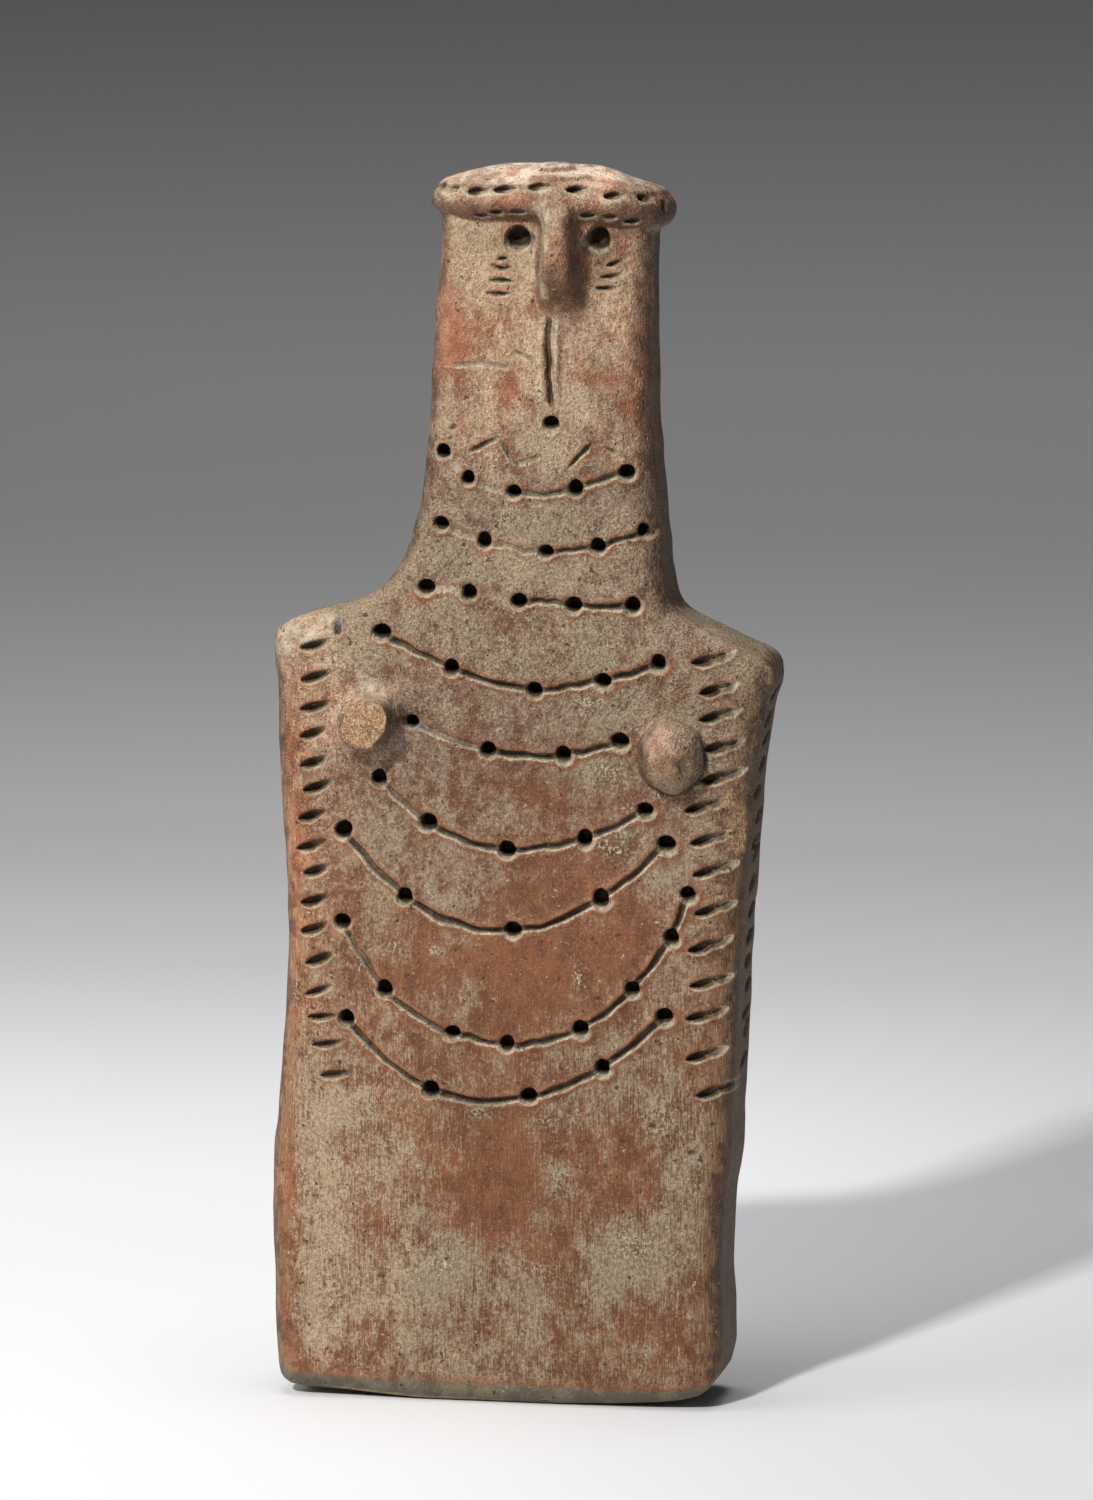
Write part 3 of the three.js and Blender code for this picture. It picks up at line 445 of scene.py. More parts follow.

# broad lighter and warmer (+) or duller (-) areas: partly real tone, partly painted light, such as the lightened right
# of the face, the head's right edge and the lit tops of the cap
for x0, z0, rx, rz, amt in [
        (2.0, 228.0, 22.0, 30.0, .62), (-10.0, 222.0, 9.0, 24.0, .34), (0.0, 204.0, 22.0, 12.0, .22), (-42.0, 156.0, 13.0, 12.0, .80), (-45.0, 162.0, 8.0, 4.0, .6),
        (-44.0, 128.0, 8.0, 30.0, .40), (-38.0, 40.0, 15.0, 40.0, .42), (-46.0, 80.0, 8.0, 30.0, .30), (36.0, 30.0, 14.0, 34.0, -.05),
        (5.0, 88.0, 20.0, 14.0, -.11), (0.0, 165.0, 38.0, 14.0, .10), (-36.0, 8.0, 16.0, 8.0, .15), (0.0, 252.4, 26.0, 2.6, .34),
        (32.5, 251.5, 2.6, 4.0, -.5), (28.6, 236.0, 3.2, 12.0, .45), (4.0, 258.5, 22.0, 2.4, .38)]:
    bump(x0, z0, rx, rz, amt, TONE_AND_LIGHT, power=2.4)
# lightened spots on the right of the face and the upper left of the left breast: painted light over real tone
for x0, z0, rx, rz, amt in [(24.5, 228.0, 5.0, 22.0, .60), (-45.6, 125.0, 2.6, 36.0, .20), (-46.0, 95.0, 3.0, 20.0, .15),
                            (31.2, 141.2, 4.0, 4.2, .55), (-33.8, 147.2, 3.8, 3.6, .70), (-28.5, 150.4, 5.0, 1.8, .40), (22.0, 230.0, 7.0, 18.0, .36), (-6.0, 232.0, 14.0, 18.0, .14), (35.0, 137.0, 7.0, 7.0, .12)]:
    bump(x0, z0, rx, rz, amt, TONE_AND_LIGHT, power=2.4)
for x0, z0, rx, rz, amt in [(-33.8, 147.6, 4.6, 4.4, 1.0), (-27.0, 150.6, 4.6, 1.8, .6), (31.2, 141.2, 4.6, 4.6, 1.0), (38.4, 142.0, 3.4, 3.0, .7), (33.0, 133.4, 5.0, 3.0, .25), (-44.0, 162.0, 6.0, 2.6, .6),
                            (-48.0, 156.0, 2.4, 6.0, .5), (40.0, 162.5, 7.0, 2.4, .6), (18.0, 226.4, 7.5, 3.6, .75), (25.0, 246.0, 3.0, 3.0, .6), (-15.5, 240.0, 2.6, 6.0, .6),
                            (-21.0, 153.0, 9.0, 4.0, .45), (-35.5, 134.0, 4.0, 8.0, .45), (-20.0, 137.0, 9.0, 6.0, .4), (8.0, 146.0, 10.0, 4.0, .3),
                            (-6.0, 256.8, 9.0, 1.2, .6), (20.0, 188.0, 6.0, 3.0, .4), (-14.0, 188.0, 5.0, 3.0, .35), (-16.5, 230.0, 1.6, 12.0, .4),
                            (16.0, 174.0, 8.0, 2.4, .4), (-38.0, 112.0, 3.0, 6.0, .3), (5.0, 253.0, 20.0, 1.6, .25)]:
    bump(x0, z0, rx, rz, amt, ROSE, rough=0.4)
for x0, z0, rx, rz, amt in [(13.0, 256.2, 9.0, .8, .5), (25.0, 255.0, 5.0, .9, .5)]:
    bump(x0, z0, rx, rz, amt, LIP, rough=0.5)
# rubbed orange spots, and small crusts of cream deposit
for x0, z0, rx, rz, amt in [(-14.6, 217.4, 1.2, 1.6, 1.0), (23.6, 217.6, 1.4, .8, .9), (-17.6, 243.6, .9, 1.4, .7), (24.3, 241.0, .8, 1.3, .8),
                            (27.4, 235.0, 1.0, 1.6, .5), (16.1, 240.2, .5, 1.9, .7), (-10.6, 206.0, 1.2, 2.6, .8), (-50.6, 155.0, .9, 2.6, .5),
                            (-20.0, 170.0, 3.5, 1.2, .6), (-24.0, 167.4, 4.0, 1.0, .6)]:
    bump(x0, z0, rx, rz, amt, LIP, rough=0.5)
for x0, z0, rx, rz, amt in [(8.6, 203.6, 1.6, 1.2, .9), (6.0, 206.6, 1.4, 1.0, .6), (20.0, 119.0, 2.2, 1.2, .8), (23.0, 117.4, 2.8, 1.0, .7),
                            (24.0, 121.0, 1.6, 1.4, .8), (-16.0, 96.0, 1.6, 1.2, .9), (-24.0, 96.6, 2.4, 1.2, .6), (14.6, 91.0, .9, 2.2, .9),
                            (20.0, 134.6, 1.8, 1.2, .8), (22.4, 133.2, 1.4, 1.4, .8), (-6.0, 62.0, 2.4, 1.6, .6), (8.0, 60.4, 2.0, 1.2, .6),
                            (31.5, 130.0, 1.8, 1.0, .9), (-2.0, 142.4, 1.0, .8, .7), (10.2, 47.0, 1.0, 2.6, .7), (-14.0, 29.4, 3.2, 1.6, .7),
                            (6.0, 29.0, 2.6, 1.6, .7), (27.0, 34.0, 3.4, 2.6, .6), (-44.0, 161.0, 5.4, 3.4, 1.0), (-48.6, 158.6, 2.4, 4.0, .9), (-38.6, 164.4, 4.0, 1.6, .7), (42.6, 163.4, 2.6, 1.2, .8),
                            (-46.0, 86.0, 1.2, 3.0, .5), (-37.0, 24.0, 3.0, 4.0, .5), (32.0, 60.0, 2.6, 3.0, .5), (-31.0, 152.8, 2.2, 1.2, .5), (16.9, 148.4, 2.8, 1.6, .8), (38.6, 138.2, 1.8, 3.0, .8), (37.2, 141.4, 1.6, 1.2, .6), (25.2, 126.6, 1.6, 1.2, .7), (-30.0, 150.4, 4.6, 1.5, .6), (-35.2, 146.6, 1.2, 3.0, .5)]:
    bump(x0, z0, rx, rz, amt, CREAM if z0 > 150 else CRUST, rough=0.6)
    if z0 <= 150:
        bump(x0, z0, rx, rz, 0.20 * amt, R, rough=1.2)

R += 0.10 * noise2(xs, zs, (6.0, 26.0), 41) + 0.05 * noise2(xs, zs, (2.6, 7.0), 42)
for a in (CUT, LIP, CREAM, ROSE, CRUST):
    np.clip(a, 0, 1, out=a)

# ------------------------------------------------------------------ the solid
inset = np.clip(-S, 0, 30)
hd = monotone(THICK, 1, zs)[None, :].astype(np.float32)
pillow = 0.9 * (1 - np.exp(-np.clip(inset - 4, 0, None) / 14))
front = hd - 0.35 + pillow + R
back = hd - 0.3 + 0.55 * (1 - np.exp(-np.clip(inset - 4, 0, None) / 14)) \
    + 0.12 * noise2(xs, zs, (5.5, 30.0), 51) + 0.22 * noise2(xs, zs, (24.0, 18.0), 52)
corner = np.full_like(S, CORNER)
corner *= np.interp(zs, [0, 150, 168, 185, 240, 253], [0.9, 0.95, 0.72, 0.92, 0.95, 0.8])[None, :].astype(np.float32)

D = np.empty((nx, ny, nz), np.float32)
q1 = S + corner
for j, y in enumerate(ys):
    q2 = (-y - front if y < 0 else y - back) + corner
    D[:, j, :] = np.minimum(np.maximum(q1, q2), 0) + np.hypot(np.maximum(q1, 0), np.maximum(q2, 0)) - corner
print("slab", D.shape)


def box(x0, x1, y0, y1, z0, z1):
    def cut(g, a, b):
        return slice(max(0, int((a - g[0]) / h)), min(len(g), int((b - g[0]) / h) + 2))
    w = (cut(xs, x0, x1), cut(ys, y0, y1), cut(zs, z0, z1))
    return w, xs[w[0]][:, None, None], ys[w[1]][None, :, None], zs[w[2]][None, None, :]


# ---- cap: a profile swept round the head's plan
CAP_X, CAP_W, CAP_D, CAP_R = 6.6, 25.3, 15.4, 12.5
prof = np.array([(-30, 259.6), (-16, 259.4), (-12, 258.7), (-8, 257.8), (-5.0, 256.9), (-2.9, 256.1), (-1.9, 255.3),
                 (-1.6, 254.8), (-1.55, 254.3), (-0.75, 253.6), (-0.15, 252.7), (0, 251.8), (-0.10, 250.9), (-0.5, 250.1),
                 (-1.3, 249.4), (-2.4, 248.9), (-3.8, 248.3), (-30, 243.0)])
gp, gz = np.arange(-31, 12, 0.5), zs[zs > 236]
best = np.full((len(gp), len(gz)), 1e9)
for a, b in zip(prof[:-1], prof[1:]):
    e = b - a
    t = np.clip(((gp[:, None] - a[0]) * e[0] + (gz[None, :] - a[1]) * e[1]) / (e @ e), 0, 1)
    best = np.minimum(best, np.hypot(gp[:, None] - a[0] - t * e[0], gz[None, :] - a[1] - t * e[1]))
hi_z = np.interp(gp, prof[:12, 0], prof[:12, 1])
lo_z = np.interp(gp, prof[11:, 0][::-1], prof[11:, 1][::-1])
solid_here = (gz[None, :] < hi_z[:, None]) & (gz[None, :] > lo_z[:, None]) & (gp[:, None] < 0)
table = np.where(solid_here, -best, best).astype(np.float32)

w, bx, by, bz = box(-26, 40, -24, 18.4, 238, 263)
qx, qy = np.abs(bx - CAP_X) - (CAP_W - CAP_R), np.abs(by) - (CAP_D - CAP_R)
plan = np.minimum(np.maximum(qx, qy), 0) + np.hypot(np.maximum(qx, 0), np.maximum(qy, 0)) - CAP_R
# the right end overhangs lower and fuller, and the whole rim is bowed and a little uneven
bow = np.interp(bx, [-19, -14, -6, 4, 14, 22, 30, 36], [0.5, 0.45, 0.30, 0.30, 0.05, -0.55, -1.1, -1.4])
plan = plan + 0.25 * noise2(xs[w[0]], ys[w[1]], (9, 9), 61)[:, :, None]
zz = np.broadcast_to(bz - bow, (bx.shape[0], by.shape[1], bz.shape[2])) + 0.0 * plan
zz = np.where(zz < 251.8, 251.8 + (zz - 251.8) * (1 - 0.30 * ease(10, 30, bx)), zz)
# the dome falls away sooner towards the right end, with a slight kink there
zz = np.where(zz > 254.3, 254.3 + (zz - 254.3) * (1 + 0.30 * ease(17, 25, bx) * ease(36, 28, bx)), zz)
fp = np.clip((plan[:, :, 0] - gp[0]) / 0.5, 0, len(gp) - 1.001)
ip = fp.astype(int)
fz = np.clip((zz - gz[0]) / h, 0, len(gz) - 1.001)
iz = fz.astype(int)
tp, tz = (fp - ip)[:, :, None], fz - iz
ip3 = ip[:, :, None]
cap = (table[ip3, iz] * (1 - tp) * (1 - tz) + table[ip3 + 1, iz] * tp * (1 - tz)
       + table[ip3, iz + 1] * (1 - tp) * tz + table[ip3 + 1, iz + 1] * tp * tz)
cap = cap.astype(np.float32)
D[w] = soft_min(D[w], cap, 1.0)
# a small pinch of clay on the crown
w, bx, by, bz = box(0, 18, -12, 6, 254, 263)
knob = np.sqrt(((bx - 8.0) / 4.2) ** 2 + ((by + 5.0) / 3.4) ** 2 + ((bz - 258.4) / 1.5) ** 2) - 1
D[w] = soft_min(D[w], (knob * 1.5 + 0.30 * noise3(xs[w[0]], ys[w[1]], zs[w[2]], (1.4, 1.4, 1.4), 66)).astype(np.float32), 0.6)

# ---- nose: a pinched ridge running down from the rim
w, bx, by, bz = box(-4, 25, -26, -4, 224, 257)
NOSE = np.array([(223.2, -2.4, 5.0), (226.0, -0.9, 5.6), (228.0, 1.1, 5.9), (230.4, 3.6, 6.0), (233.0, 6.2, 6.1),
                 (235.4, 8.9, 6.0), (236.9, 10.6, 5.9), (238.6, 10.8, 5.9), (241.0, 10.0, 5.7), (244.0, 8.8, 5.2),
                 (247.0, 7.6, 5.2), (249.6, 6.6, 5.6), (251.6, 5.4, 5.9), (253.4, 3.8, 5.7), (256.0, 1.6, 5.0)])
out_n = monotone(NOSE, 1, bz)
half_n = monotone(NOSE, 2, bz)
cxn = 10.5 - 0.02 * (bz - 240) + 0.3 * np.sin((bz - 232) / 6.0)
face_y = -(np.interp(bz, THICK[:, 0], THICK[:, 1]) + 0.4)
o = face_y - by                       # how far in front of the face
share = np.clip(o / np.maximum(out_n, 0.5), 0, 1)
side = np.abs(bx - cxn) - half_n * (1 - 0.57 * share**0.62) - 0.5 * np.exp(-np.clip(o, 0, 9) / 1.3) * ease(251, 244, bz)
lump = noise3(xs[w[0]], ys[w[1]], zs[w[2]], (3.0, 3.0, 3.0), 71)
rag = noise3(xs[w[0]], ys[w[1]], zs[w[2]], (1.1, 1.1, 1.1), 77)
nose = soft_max(soft_max(side * 0.92, o - out_n, 2.0), -o - 6.0, 0.5)
# the tip is rubbed and chipped: rough, with a small facet
tip = ease(243, 238, bz) * ease(231.5, 235, bz) * ease(5, 8.5, o)
nose = nose + 0.22 * lump + 0.26 * rag * tip
nose = soft_max(nose, (o + 0.35 * (bx - cxn) - 0.10 * (bz - 240) - 10.7 + 0.3 * rag).astype(np.float32), 0.7)
D[w] = soft_min(D[w], nose.astype(np.float32), 2.2)

# ---- breasts
w, bx, by, bz = box(-44, -16, -26, -6, 130, 158)
cxl, czl, yl = -29.4, 143.8, -14.3
o = yl - by
lump = noise3(xs[w[0]], ys[w[1]], zs[w[2]], (4, 4, 4), 72)
rag = noise3(xs[w[0]], ys[w[1]], zs[w[2]], (1.2, 1.2, 1.2), 73)
# an upright oval peg, tipped a little; wider where it was smeared on to the chest
ca, sa = math.cos(-0.78), math.sin(-0.78)
pu = (bx - cxl) * ca + (bz - czl) * sa
pv = -(bx - cxl) * sa + (bz - czl) * ca
rad = ((np.abs(pu) / (0.87 - 0.010 * pv)) ** 2.2 + (np.abs(pv) / 1.10) ** 2.2) ** (1 / 2.2) + 0.26 * lump + 0.26 * rag
r_at = 4.95 + 3.2 * np.exp(-np.clip(o, 0, 20) / 1.7)
# the snapped face leans to the left and is rough
snap = o - (7.4 + 0.20 * (bx - cxl) + 0.06 * (bz - czl)) + 0.75 * rag + 0.55 * lump
stub = soft_max(soft_max((rad - r_at) * 0.85, snap, 0.55), -o - 3, 0.5)
D[w] = soft_min(D[w], stub.astype(np.float32), 1.2)

w, bx, by, bz = box(22, 50, -26, -6, 124, 152)
cxr, czr, yr = 34.0, 138.0, -14.0
o = yr - by
dx, dz = bx - cxr - 0.10 * o, bz - czr + 0.02 * o
lump = noise3(xs[w[0]], ys[w[1]], zs[w[2]], (3.6, 3.6, 3.6), 74)
rag = noise3(xs[w[0]], ys[w[1]], zs[w[2]], (1.3, 1.3, 1.3), 75)
facet = None
for turn, reach in ((12, 0.98), (70, 0.92), (128, 0.96), (186, 1.02), (246, 0.92), (306, 0.95)):
    f = (dx * math.cos(math.radians(turn)) * 1.06 + dz * math.sin(math.radians(turn)) * 0.94) / reach
    facet = f if facet is None else soft_max(facet, f, 0.5)
rad = 0.50 * facet + 0.50 * np.hypot(dx * 1.06, dz * 0.92) + 0.24 * lump
r_at = 7.5 * np.clip(1 - (np.clip(o, 0, 9.2) / 9.4) ** 2.0, 0.0, 1) ** 0.70
worn = ease(3.8, 6.4, o) * np.clip(np.exp(-(((dx + 1.0) / 3.4) ** 2 + ((dz + 1.6) / 2.6) ** 2))
                                   + np.exp(-(((dx - 2.8) / 2.2) ** 2 + ((dz + 0.2) / 3.4) ** 2)), 0, 1)
peak = o - 8.4 + 0.16 * np.abs(dx + 0.5) + 0.16 * lump
cone = soft_max(soft_max((rad - r_at) * 0.80, peak, 1.6), -o - 3, 0.5) + worn * (0.80 * rag + 0.15)
D[w] = soft_min(D[w], cone.astype(np.float32), 0.35)

# ---- the handmade surface: long swells, finger-sized hollows and small lumps over everything
D -= 0.26 * noise3(xs, ys, zs, (21, 16, 27), 81)
D -= 0.10 * noise3(xs, ys, zs, (6.5, 6.5, 9.5), 82)
D -= 0.060 * noise3(xs, ys, zs, (2.2, 2.2, 2.8), 83)
# side faces: dented with the same tool, and dragged smooth upwards
for sx, first in ((1, 0), (-1, 1)):
    for i, zc in enumerate(DENTS[first:]):
        xe = float(np.interp(zc, OUTLINE[:, 0], OUTLINE[:, 2 if sx > 0 else 1]))
        yc = float(rng.uniform(-1.0, 4.5))
        L, W, dep = rng.uniform(3.6, 4.6), rng.uniform(1.0, 1.5), rng.uniform(0.9, 1.3)
        w, bx, by, bz = box(xe - 5, xe + 5, yc - 8, yc + 8, zc - 6, zc + 6)
        a = 0.28 + float(rng.uniform(-.12, .12))
        u = (by - yc) * math.cos(a) + (bz - zc) * math.sin(a)
        v = -(by - yc) * math.sin(a) + (bz - zc) * math.cos(a)
        q = np.sqrt((u / L) ** 2 + (v / W) ** 2 + ((bx - xe) * sx / 1.6) ** 2)
        D[w] = soft_max(D[w], (dep * (1 - q)).astype(np.float32) * 0.8, 0.25)

# ---- punched holes, square to the surface they enter
def depth_at(x, z, back_side=False):
    """Where the surface is at a place on the front or the back."""
    i = int(np.clip(round((x - float(xs[0])) / h), 0, nx - 1))
    k = int(np.clip(round((z - float(zs[0])) / h), 0, nz - 1))
    solid = np.where(D[i, :, k] < 0)[0]
    if len(solid) == 0:
        return None
    return float(ys[solid[-1] if back_side else solid[0]])


placed = []
for x0, z0, r, dep, tx, tz_ in punches:
    mid_x = float(np.interp(z0, OUTLINE[:, 0], (OUTLINE[:, 1] + OUTLINE[:, 2]) / 2))
    flat = -(float(np.interp(z0, THICK[:, 0], THICK[:, 1])) + 0.5)
    yf = depth_at(x0, z0) or flat
    near_edge = float(lift(coarse, cx, cz, np.array([x0]), np.array([z0]))[0, 0])
    if near_edge > -5.0:
        # close to a rounded edge: seen a little to one side, and pressed in along the curve
        x0 -= (yf - flat) * math.tan(math.radians(11.0))
        yf = depth_at(x0, z0) or flat
        lean = min(1.0, (5.0 + near_edge) / 4.0)
        tx = -math.copysign(0.55 * lean, x0 - mid_x)
    placed.append((x0, z0, r, dep, tx, tz_, yf))
for n, (x0, z0, r, dep, tx, tz_, yf) in enumerate(placed):
    w, bx, by, bz = box(x0 - 6, x0 + 6, -24, -2, z0 - 6, z0 + 6)
    o = by - yf                                # depth behind the face
    ragged = noise3(xs[w[0]], ys[w[1]], zs[w[2]], (1.5, 1.5, 1.8), int(z0 * 10) + 900)
    below = ease(-0.3, 1.0, -(bz - z0) / r)
    oval = 1 + 0.10 * math.sin(n * 2.4)
    c = np.hypot((bx - x0 - tx * o) * oval, (bz - z0 - tz_ * o) / oval)
    if r > 2.2:        # an eye: a dish with a long lower slope
        rr = r * (1.04 - 0.125 * np.clip(o, 0, 6)) + 0.10 * ragged
        flare = 0.75 * np.exp(-(np.clip(o + 0.2, 0, 9) / 0.9)) * below
    else:
        rr = r * (1.03 - 0.055 * np.clip(o, 0, 6)) + 0.24 * ragged
        flare = 0.42 * np.exp(-(np.clip(o + 0.2, 0, 9) / 0.55)) * below
    pin = soft_max(c - rr - flare, o - dep, 1.0)
    D[w] = soft_max(D[w], (-pin).astype(np.float32), 0.35)

# ---- dashes round the cap's rim, and the pits at its ends
RIM = [(-12.4, 254.4, 2.3, 'c'), (-6.6, 254.1, 2.5, 'd'), (-0.9, 254.5, 2.8, 'd'), (6.3, 255.1, 2.8, 'd'),
       (14.1, 254.5, 2.9, 'd'), (21.9, 253.3, 2.6, 'd'), (27.8, 252.8, 2.7, 'r')]
RIM_LOW = [(-6.4, 249.2, 1.5), (-3.0, 249.9, 1.4), (1.7, 250.0, 1.7), (16.4, 249.4, 1.6), (21.0, 249.0, 1.4), (25.4, 248.2, 1.8)]
rim_marks = []
for x0, z0, L, kind in RIM:
    rim_marks.append((x0, depth_at(x0, z0) + 0.1, z0, L * 0.88, 0.72, 1.7 if kind == 'd' else 1.2, 0.10, kind))
for x0, z0, L in RIM_LOW:
    rim_marks.append((x0, depth_at(x0, z0) + 0.1, z0, L * 0.92, 0.44, 1.1, 0.03, 'l'))
for i in range(8):
    x0 = CAP_X - 19.5 + 39 * i / 7 + float(rng.uniform(-.5, .5))
    rim_marks.append((x0, depth_at(x0, 253.9, True), 253.9 + float(rng.uniform(-.3, .3)), 2.5, 0.9, 1.2, -0.08, 'b'))
for x0, y0, z0, L, W, dep, tilt, kind in rim_marks:
    w, bx, by, bz = box(x0 - 5, x0 + 5, y0 - 4, y0 + 4, z0 - 3, z0 + 3)
    u = (bx - x0) + (bz - z0) * tilt
    v = (bz - z0) - (bx - x0) * tilt
    q = np.sqrt((u / L) ** 2 + (v / W) ** 2 + ((by - y0) / dep) ** 2)
    D[w] = soft_max(D[w], ((1 - q) * min(W, dep)).astype(np.float32), 0.22)
PITS = [(-18.9, -5.5, 253.4, 0.9), (31.4, -6.5, 251.0, 1.1), (-16.2, -8.0, 256.4, 0.8), (-15.4, -9.5, 255.2, 0.7)]
for x0, y0, z0, r in PITS:
    w, bx, by, bz = box(x0 - 4, x0 + 4, y0 - 4, y0 + 4, z0 - 4, z0 + 4)
    q = np.sqrt((bx - x0) ** 2 / 2.2 + (by - y0) ** 2 + (bz - z0) ** 2)
    D[w] = soft_max(D[w], (r - q).astype(np.float32), 0.3)

# ---- chips: bare clay where an edge was knocked. x, y, z and the three radii
CHIPS = [(48.4, -11.0, 121.8, 3.2, 2.6, 5.6), (46.6, -13.0, 128.6, 2.0, 1.6, 2.0), (-51.3, -9.0, 131.5, 1.8, 2.4, 3.0),
         (-18.6, -9.5, 216.3, 1.5, 2.0, 2.8), (27.0, -9.4, 214.7, 1.5, 1.3, 1.6), (27.9, -9.0, 237.0, 1.2, 1.5, 3.0),
         (53.0, -8.0, 154.5, 1.8, 2.2, 2.6), (31.4, -10.5, 252.6, 2.4, 2.6, 1.9),
         (-20.0, 13.9, 259.0, 2.4, 1.8, 2.0),
         (51.6, 11.5, 40.0, 2.4, 2.4, 4.0), (-50.0, 13.0, 92.0, 2.2, 2.4, 5.0), (-27.5, 14.6, 168.5, 4.0, 2.0, 2.6),
         (31.0, -11.5, 254.2, 3.0, 2.4, 1.4)]
for n, (x0, y0, z0, ax, ay, az) in enumerate(CHIPS):
    m = max(ax, ay, az) + 2
    w, bx, by, bz = box(x0 - m, x0 + m, y0 - m, y0 + m, z0 - m, z0 + m)
    q = np.sqrt(((bx - x0) / ax) ** 2 + ((by - y0) / ay) ** 2 + ((bz - z0) / az) ** 2)
    rough = 0.30 * noise3(xs[w[0]], ys[w[1]], zs[w[2]], (1.5, 1.5, 1.5), 300 + n)
    bite = (1 - q) * min(ax, ay, az) * 0.42 + rough * (q < 1.3) - 0.35
    D[w] = soft_max(D[w], (D[w] + bite * ease(1.4, 0.7, q)).astype(np.float32), 0.3)

# ---- foot: a crisp lower edge in front, rounded under to a flat patch, its ends a little raised
foot_x = np.interp(xs, [-56, -51.2, -50.4, -49.3, -47.8, -45.5, -42, -36, -28, -20, 10, 24, 32, 36, 39.5, 41.5, 42.9, 43.7, 44.4, 58],
                   [9.0, 6.0, 4.4, 3.1, 2.1, 1.7, 1.5, 1.2, 0.55, 0.0, 0.0, 0.6, 1.2, 1.8, 2.7, 4.1, 6.2, 8.6, 11.5, 15.0])[:, None]
lipz = 5.2 + 0.5 * noise2(xs, np.array([0.0, 1.0], np.float32), (14, 5), 91)[:, :1]
kz = zs < 16
for j, y in enumerate(ys):
    ay = abs(float(y))
    t = max(0.0, (ay - 10.6) / 4.4)
    zf = foot_x + (lipz - 0.4) * (1 - math.sqrt(max(0.0, 1 - min(t, 1.0) ** 2)) if t < 1 else 1 + (t - 1) * 2.2)
    cut = (zf - zs[kz][None, :]) * 0.8
    D[:, j, kz] = soft_max(D[:, j, kz], cut.astype(np.float32), 0.8)
D[:, :, kz] = np.maximum(D[:, :, kz], -zs[kz][None, None, :])
print("solid")

# ------------------------------------------------------------------ mesh of the zero level
def level_mesh(d):
    neg = d < 0
    n8 = np.zeros(tuple(s - 1 for s in d.shape), np.int8)
    for a in (0, 1):
        for b in (0, 1):
            for c in (0, 1):
                n8 += neg[a:d.shape[0] - 1 + a, b:d.shape[1] - 1 + b, c:d.shape[2] - 1 + c]
    act = (n8 > 0) & (n8 < 8)
    ijk = np.argwhere(act)
    num = np.full(act.shape, -1, np.int32)
    num[act] = np.arange(len(ijk), dtype=np.int32)
    pos = np.zeros((len(ijk), 3))
    cnt = np.zeros(len(ijk))
    corners = [(a, b, c) for a in (0, 1) for b in (0, 1) for c in (0, 1)]
    val = {c: d[ijk[:, 0] + c[0], ijk[:, 1] + c[1], ijk[:, 2] + c[2]] for c in corners}
    for c in corners:
        for ax in range(3):
            if c[ax]:
                continue
            e = list(c); e[ax] = 1; e = tuple(e)
            va, vb = val[c], val[e]
            m = (va < 0) != (vb < 0)
            t = np.where(m, va / np.where(m, va - vb, 1), 0)
            p = np.array(c, float)[None, :] + t[:, None] * np.eye(3)[ax][None, :]
            pos += p * m[:, None]
            cnt += m
    pos = (pos / cnt[:, None] + ijk) * h + np.array([xs[0], ys[0], zs[0]])
    quads = []
    for ax in range(3):
        lo = [slice(1, -1)] * 3
        lo[ax] = slice(0, -1)
        hi = [slice(1, -1)] * 3
        hi[ax] = slice(1, None)
        a, b = neg[tuple(lo)], neg[tuple(hi)]
        e = np.argwhere(a != b)
        inside_first = a[e[:, 0], e[:, 1], e[:, 2]]
        base = e + 1
        base[:, ax] -= 1
        u, v = [(1, 2), (2, 0), (0, 1)][ax]
        def at(du, dv):
            q = base.copy()
            q[:, u] += du
            q[:, v] += dv
            return num[q[:, 0], q[:, 1], q[:, 2]]
        f = np.stack([at(-1, -1), at(0, -1), at(0, 0), at(-1, 0)], 1)
        f[~inside_first] = f[~inside_first][:, ::-1]
        quads.append(f)
    return pos, np.concatenate(quads)


verts, quads = level_mesh(D)
print("level mesh", len(verts), len(quads))
mesh = bpy.data.meshes.new("figurine_clay")
mesh.vertices.add(len(verts))
mesh.vertices.foreach_set("co", verts.astype(np.float32).ravel())
mesh.loops.add(quads.size)
mesh.loops.foreach_set("vertex_index", quads.astype(np.int32).ravel())
mesh.polygons.add(len(quads))
mesh.polygons.foreach_set("loop_start", np.arange(0, quads.size, 4, dtype=np.int32))
mesh.update(calc_edges=True)
fig = bpy.data.objects.new("figurine_clay", mesh)
bpy.context.scene.collection.objects.link(fig)
tri = fig.modifiers.new("tri", "TRIANGULATE")
dec = fig.modifiers.new("thin", "DECIMATE")
dec.ratio = FACES / (2 * len(quads))
dg = bpy.context.evaluated_depsgraph_get()
thin = bpy.data.meshes.new_from_object(fig.evaluated_get(dg))
fig.modifiers.clear()
fig.data = thin
bpy.data.meshes.remove(mesh)
thin.name = "figurine_clay"
mesh = thin
print("thinned", len(mesh.vertices), len(mesh.polygons))

# ------------------------------------------------------------------ masks on the vertices
nv = len(mesh.vertices)
P = np.empty(nv * 3, np.float32)
mesh.vertices.foreach_get("co", P)
P = P.reshape(-1, 3)
N = np.empty(nv * 3, np.float32)
mesh.vertices.foreach_get("normal", N)
N = N.reshape(-1, 3)


def sample(m, px, pz):
    fx = np.clip((px - xs[0]) / h, 0, nx - 1.001)
    fz = np.clip((pz - zs[0]) / h, 0, nz - 1.001)
    i, k = fx.astype(int), fz.astype(int)
    a, b = fx - i, fz - k
    return m[i, k] * (1 - a) * (1 - b) + m[i + 1, k] * a * (1 - b) + m[i, k + 1] * (1 - a) * b + m[i + 1, k + 1] * a * b


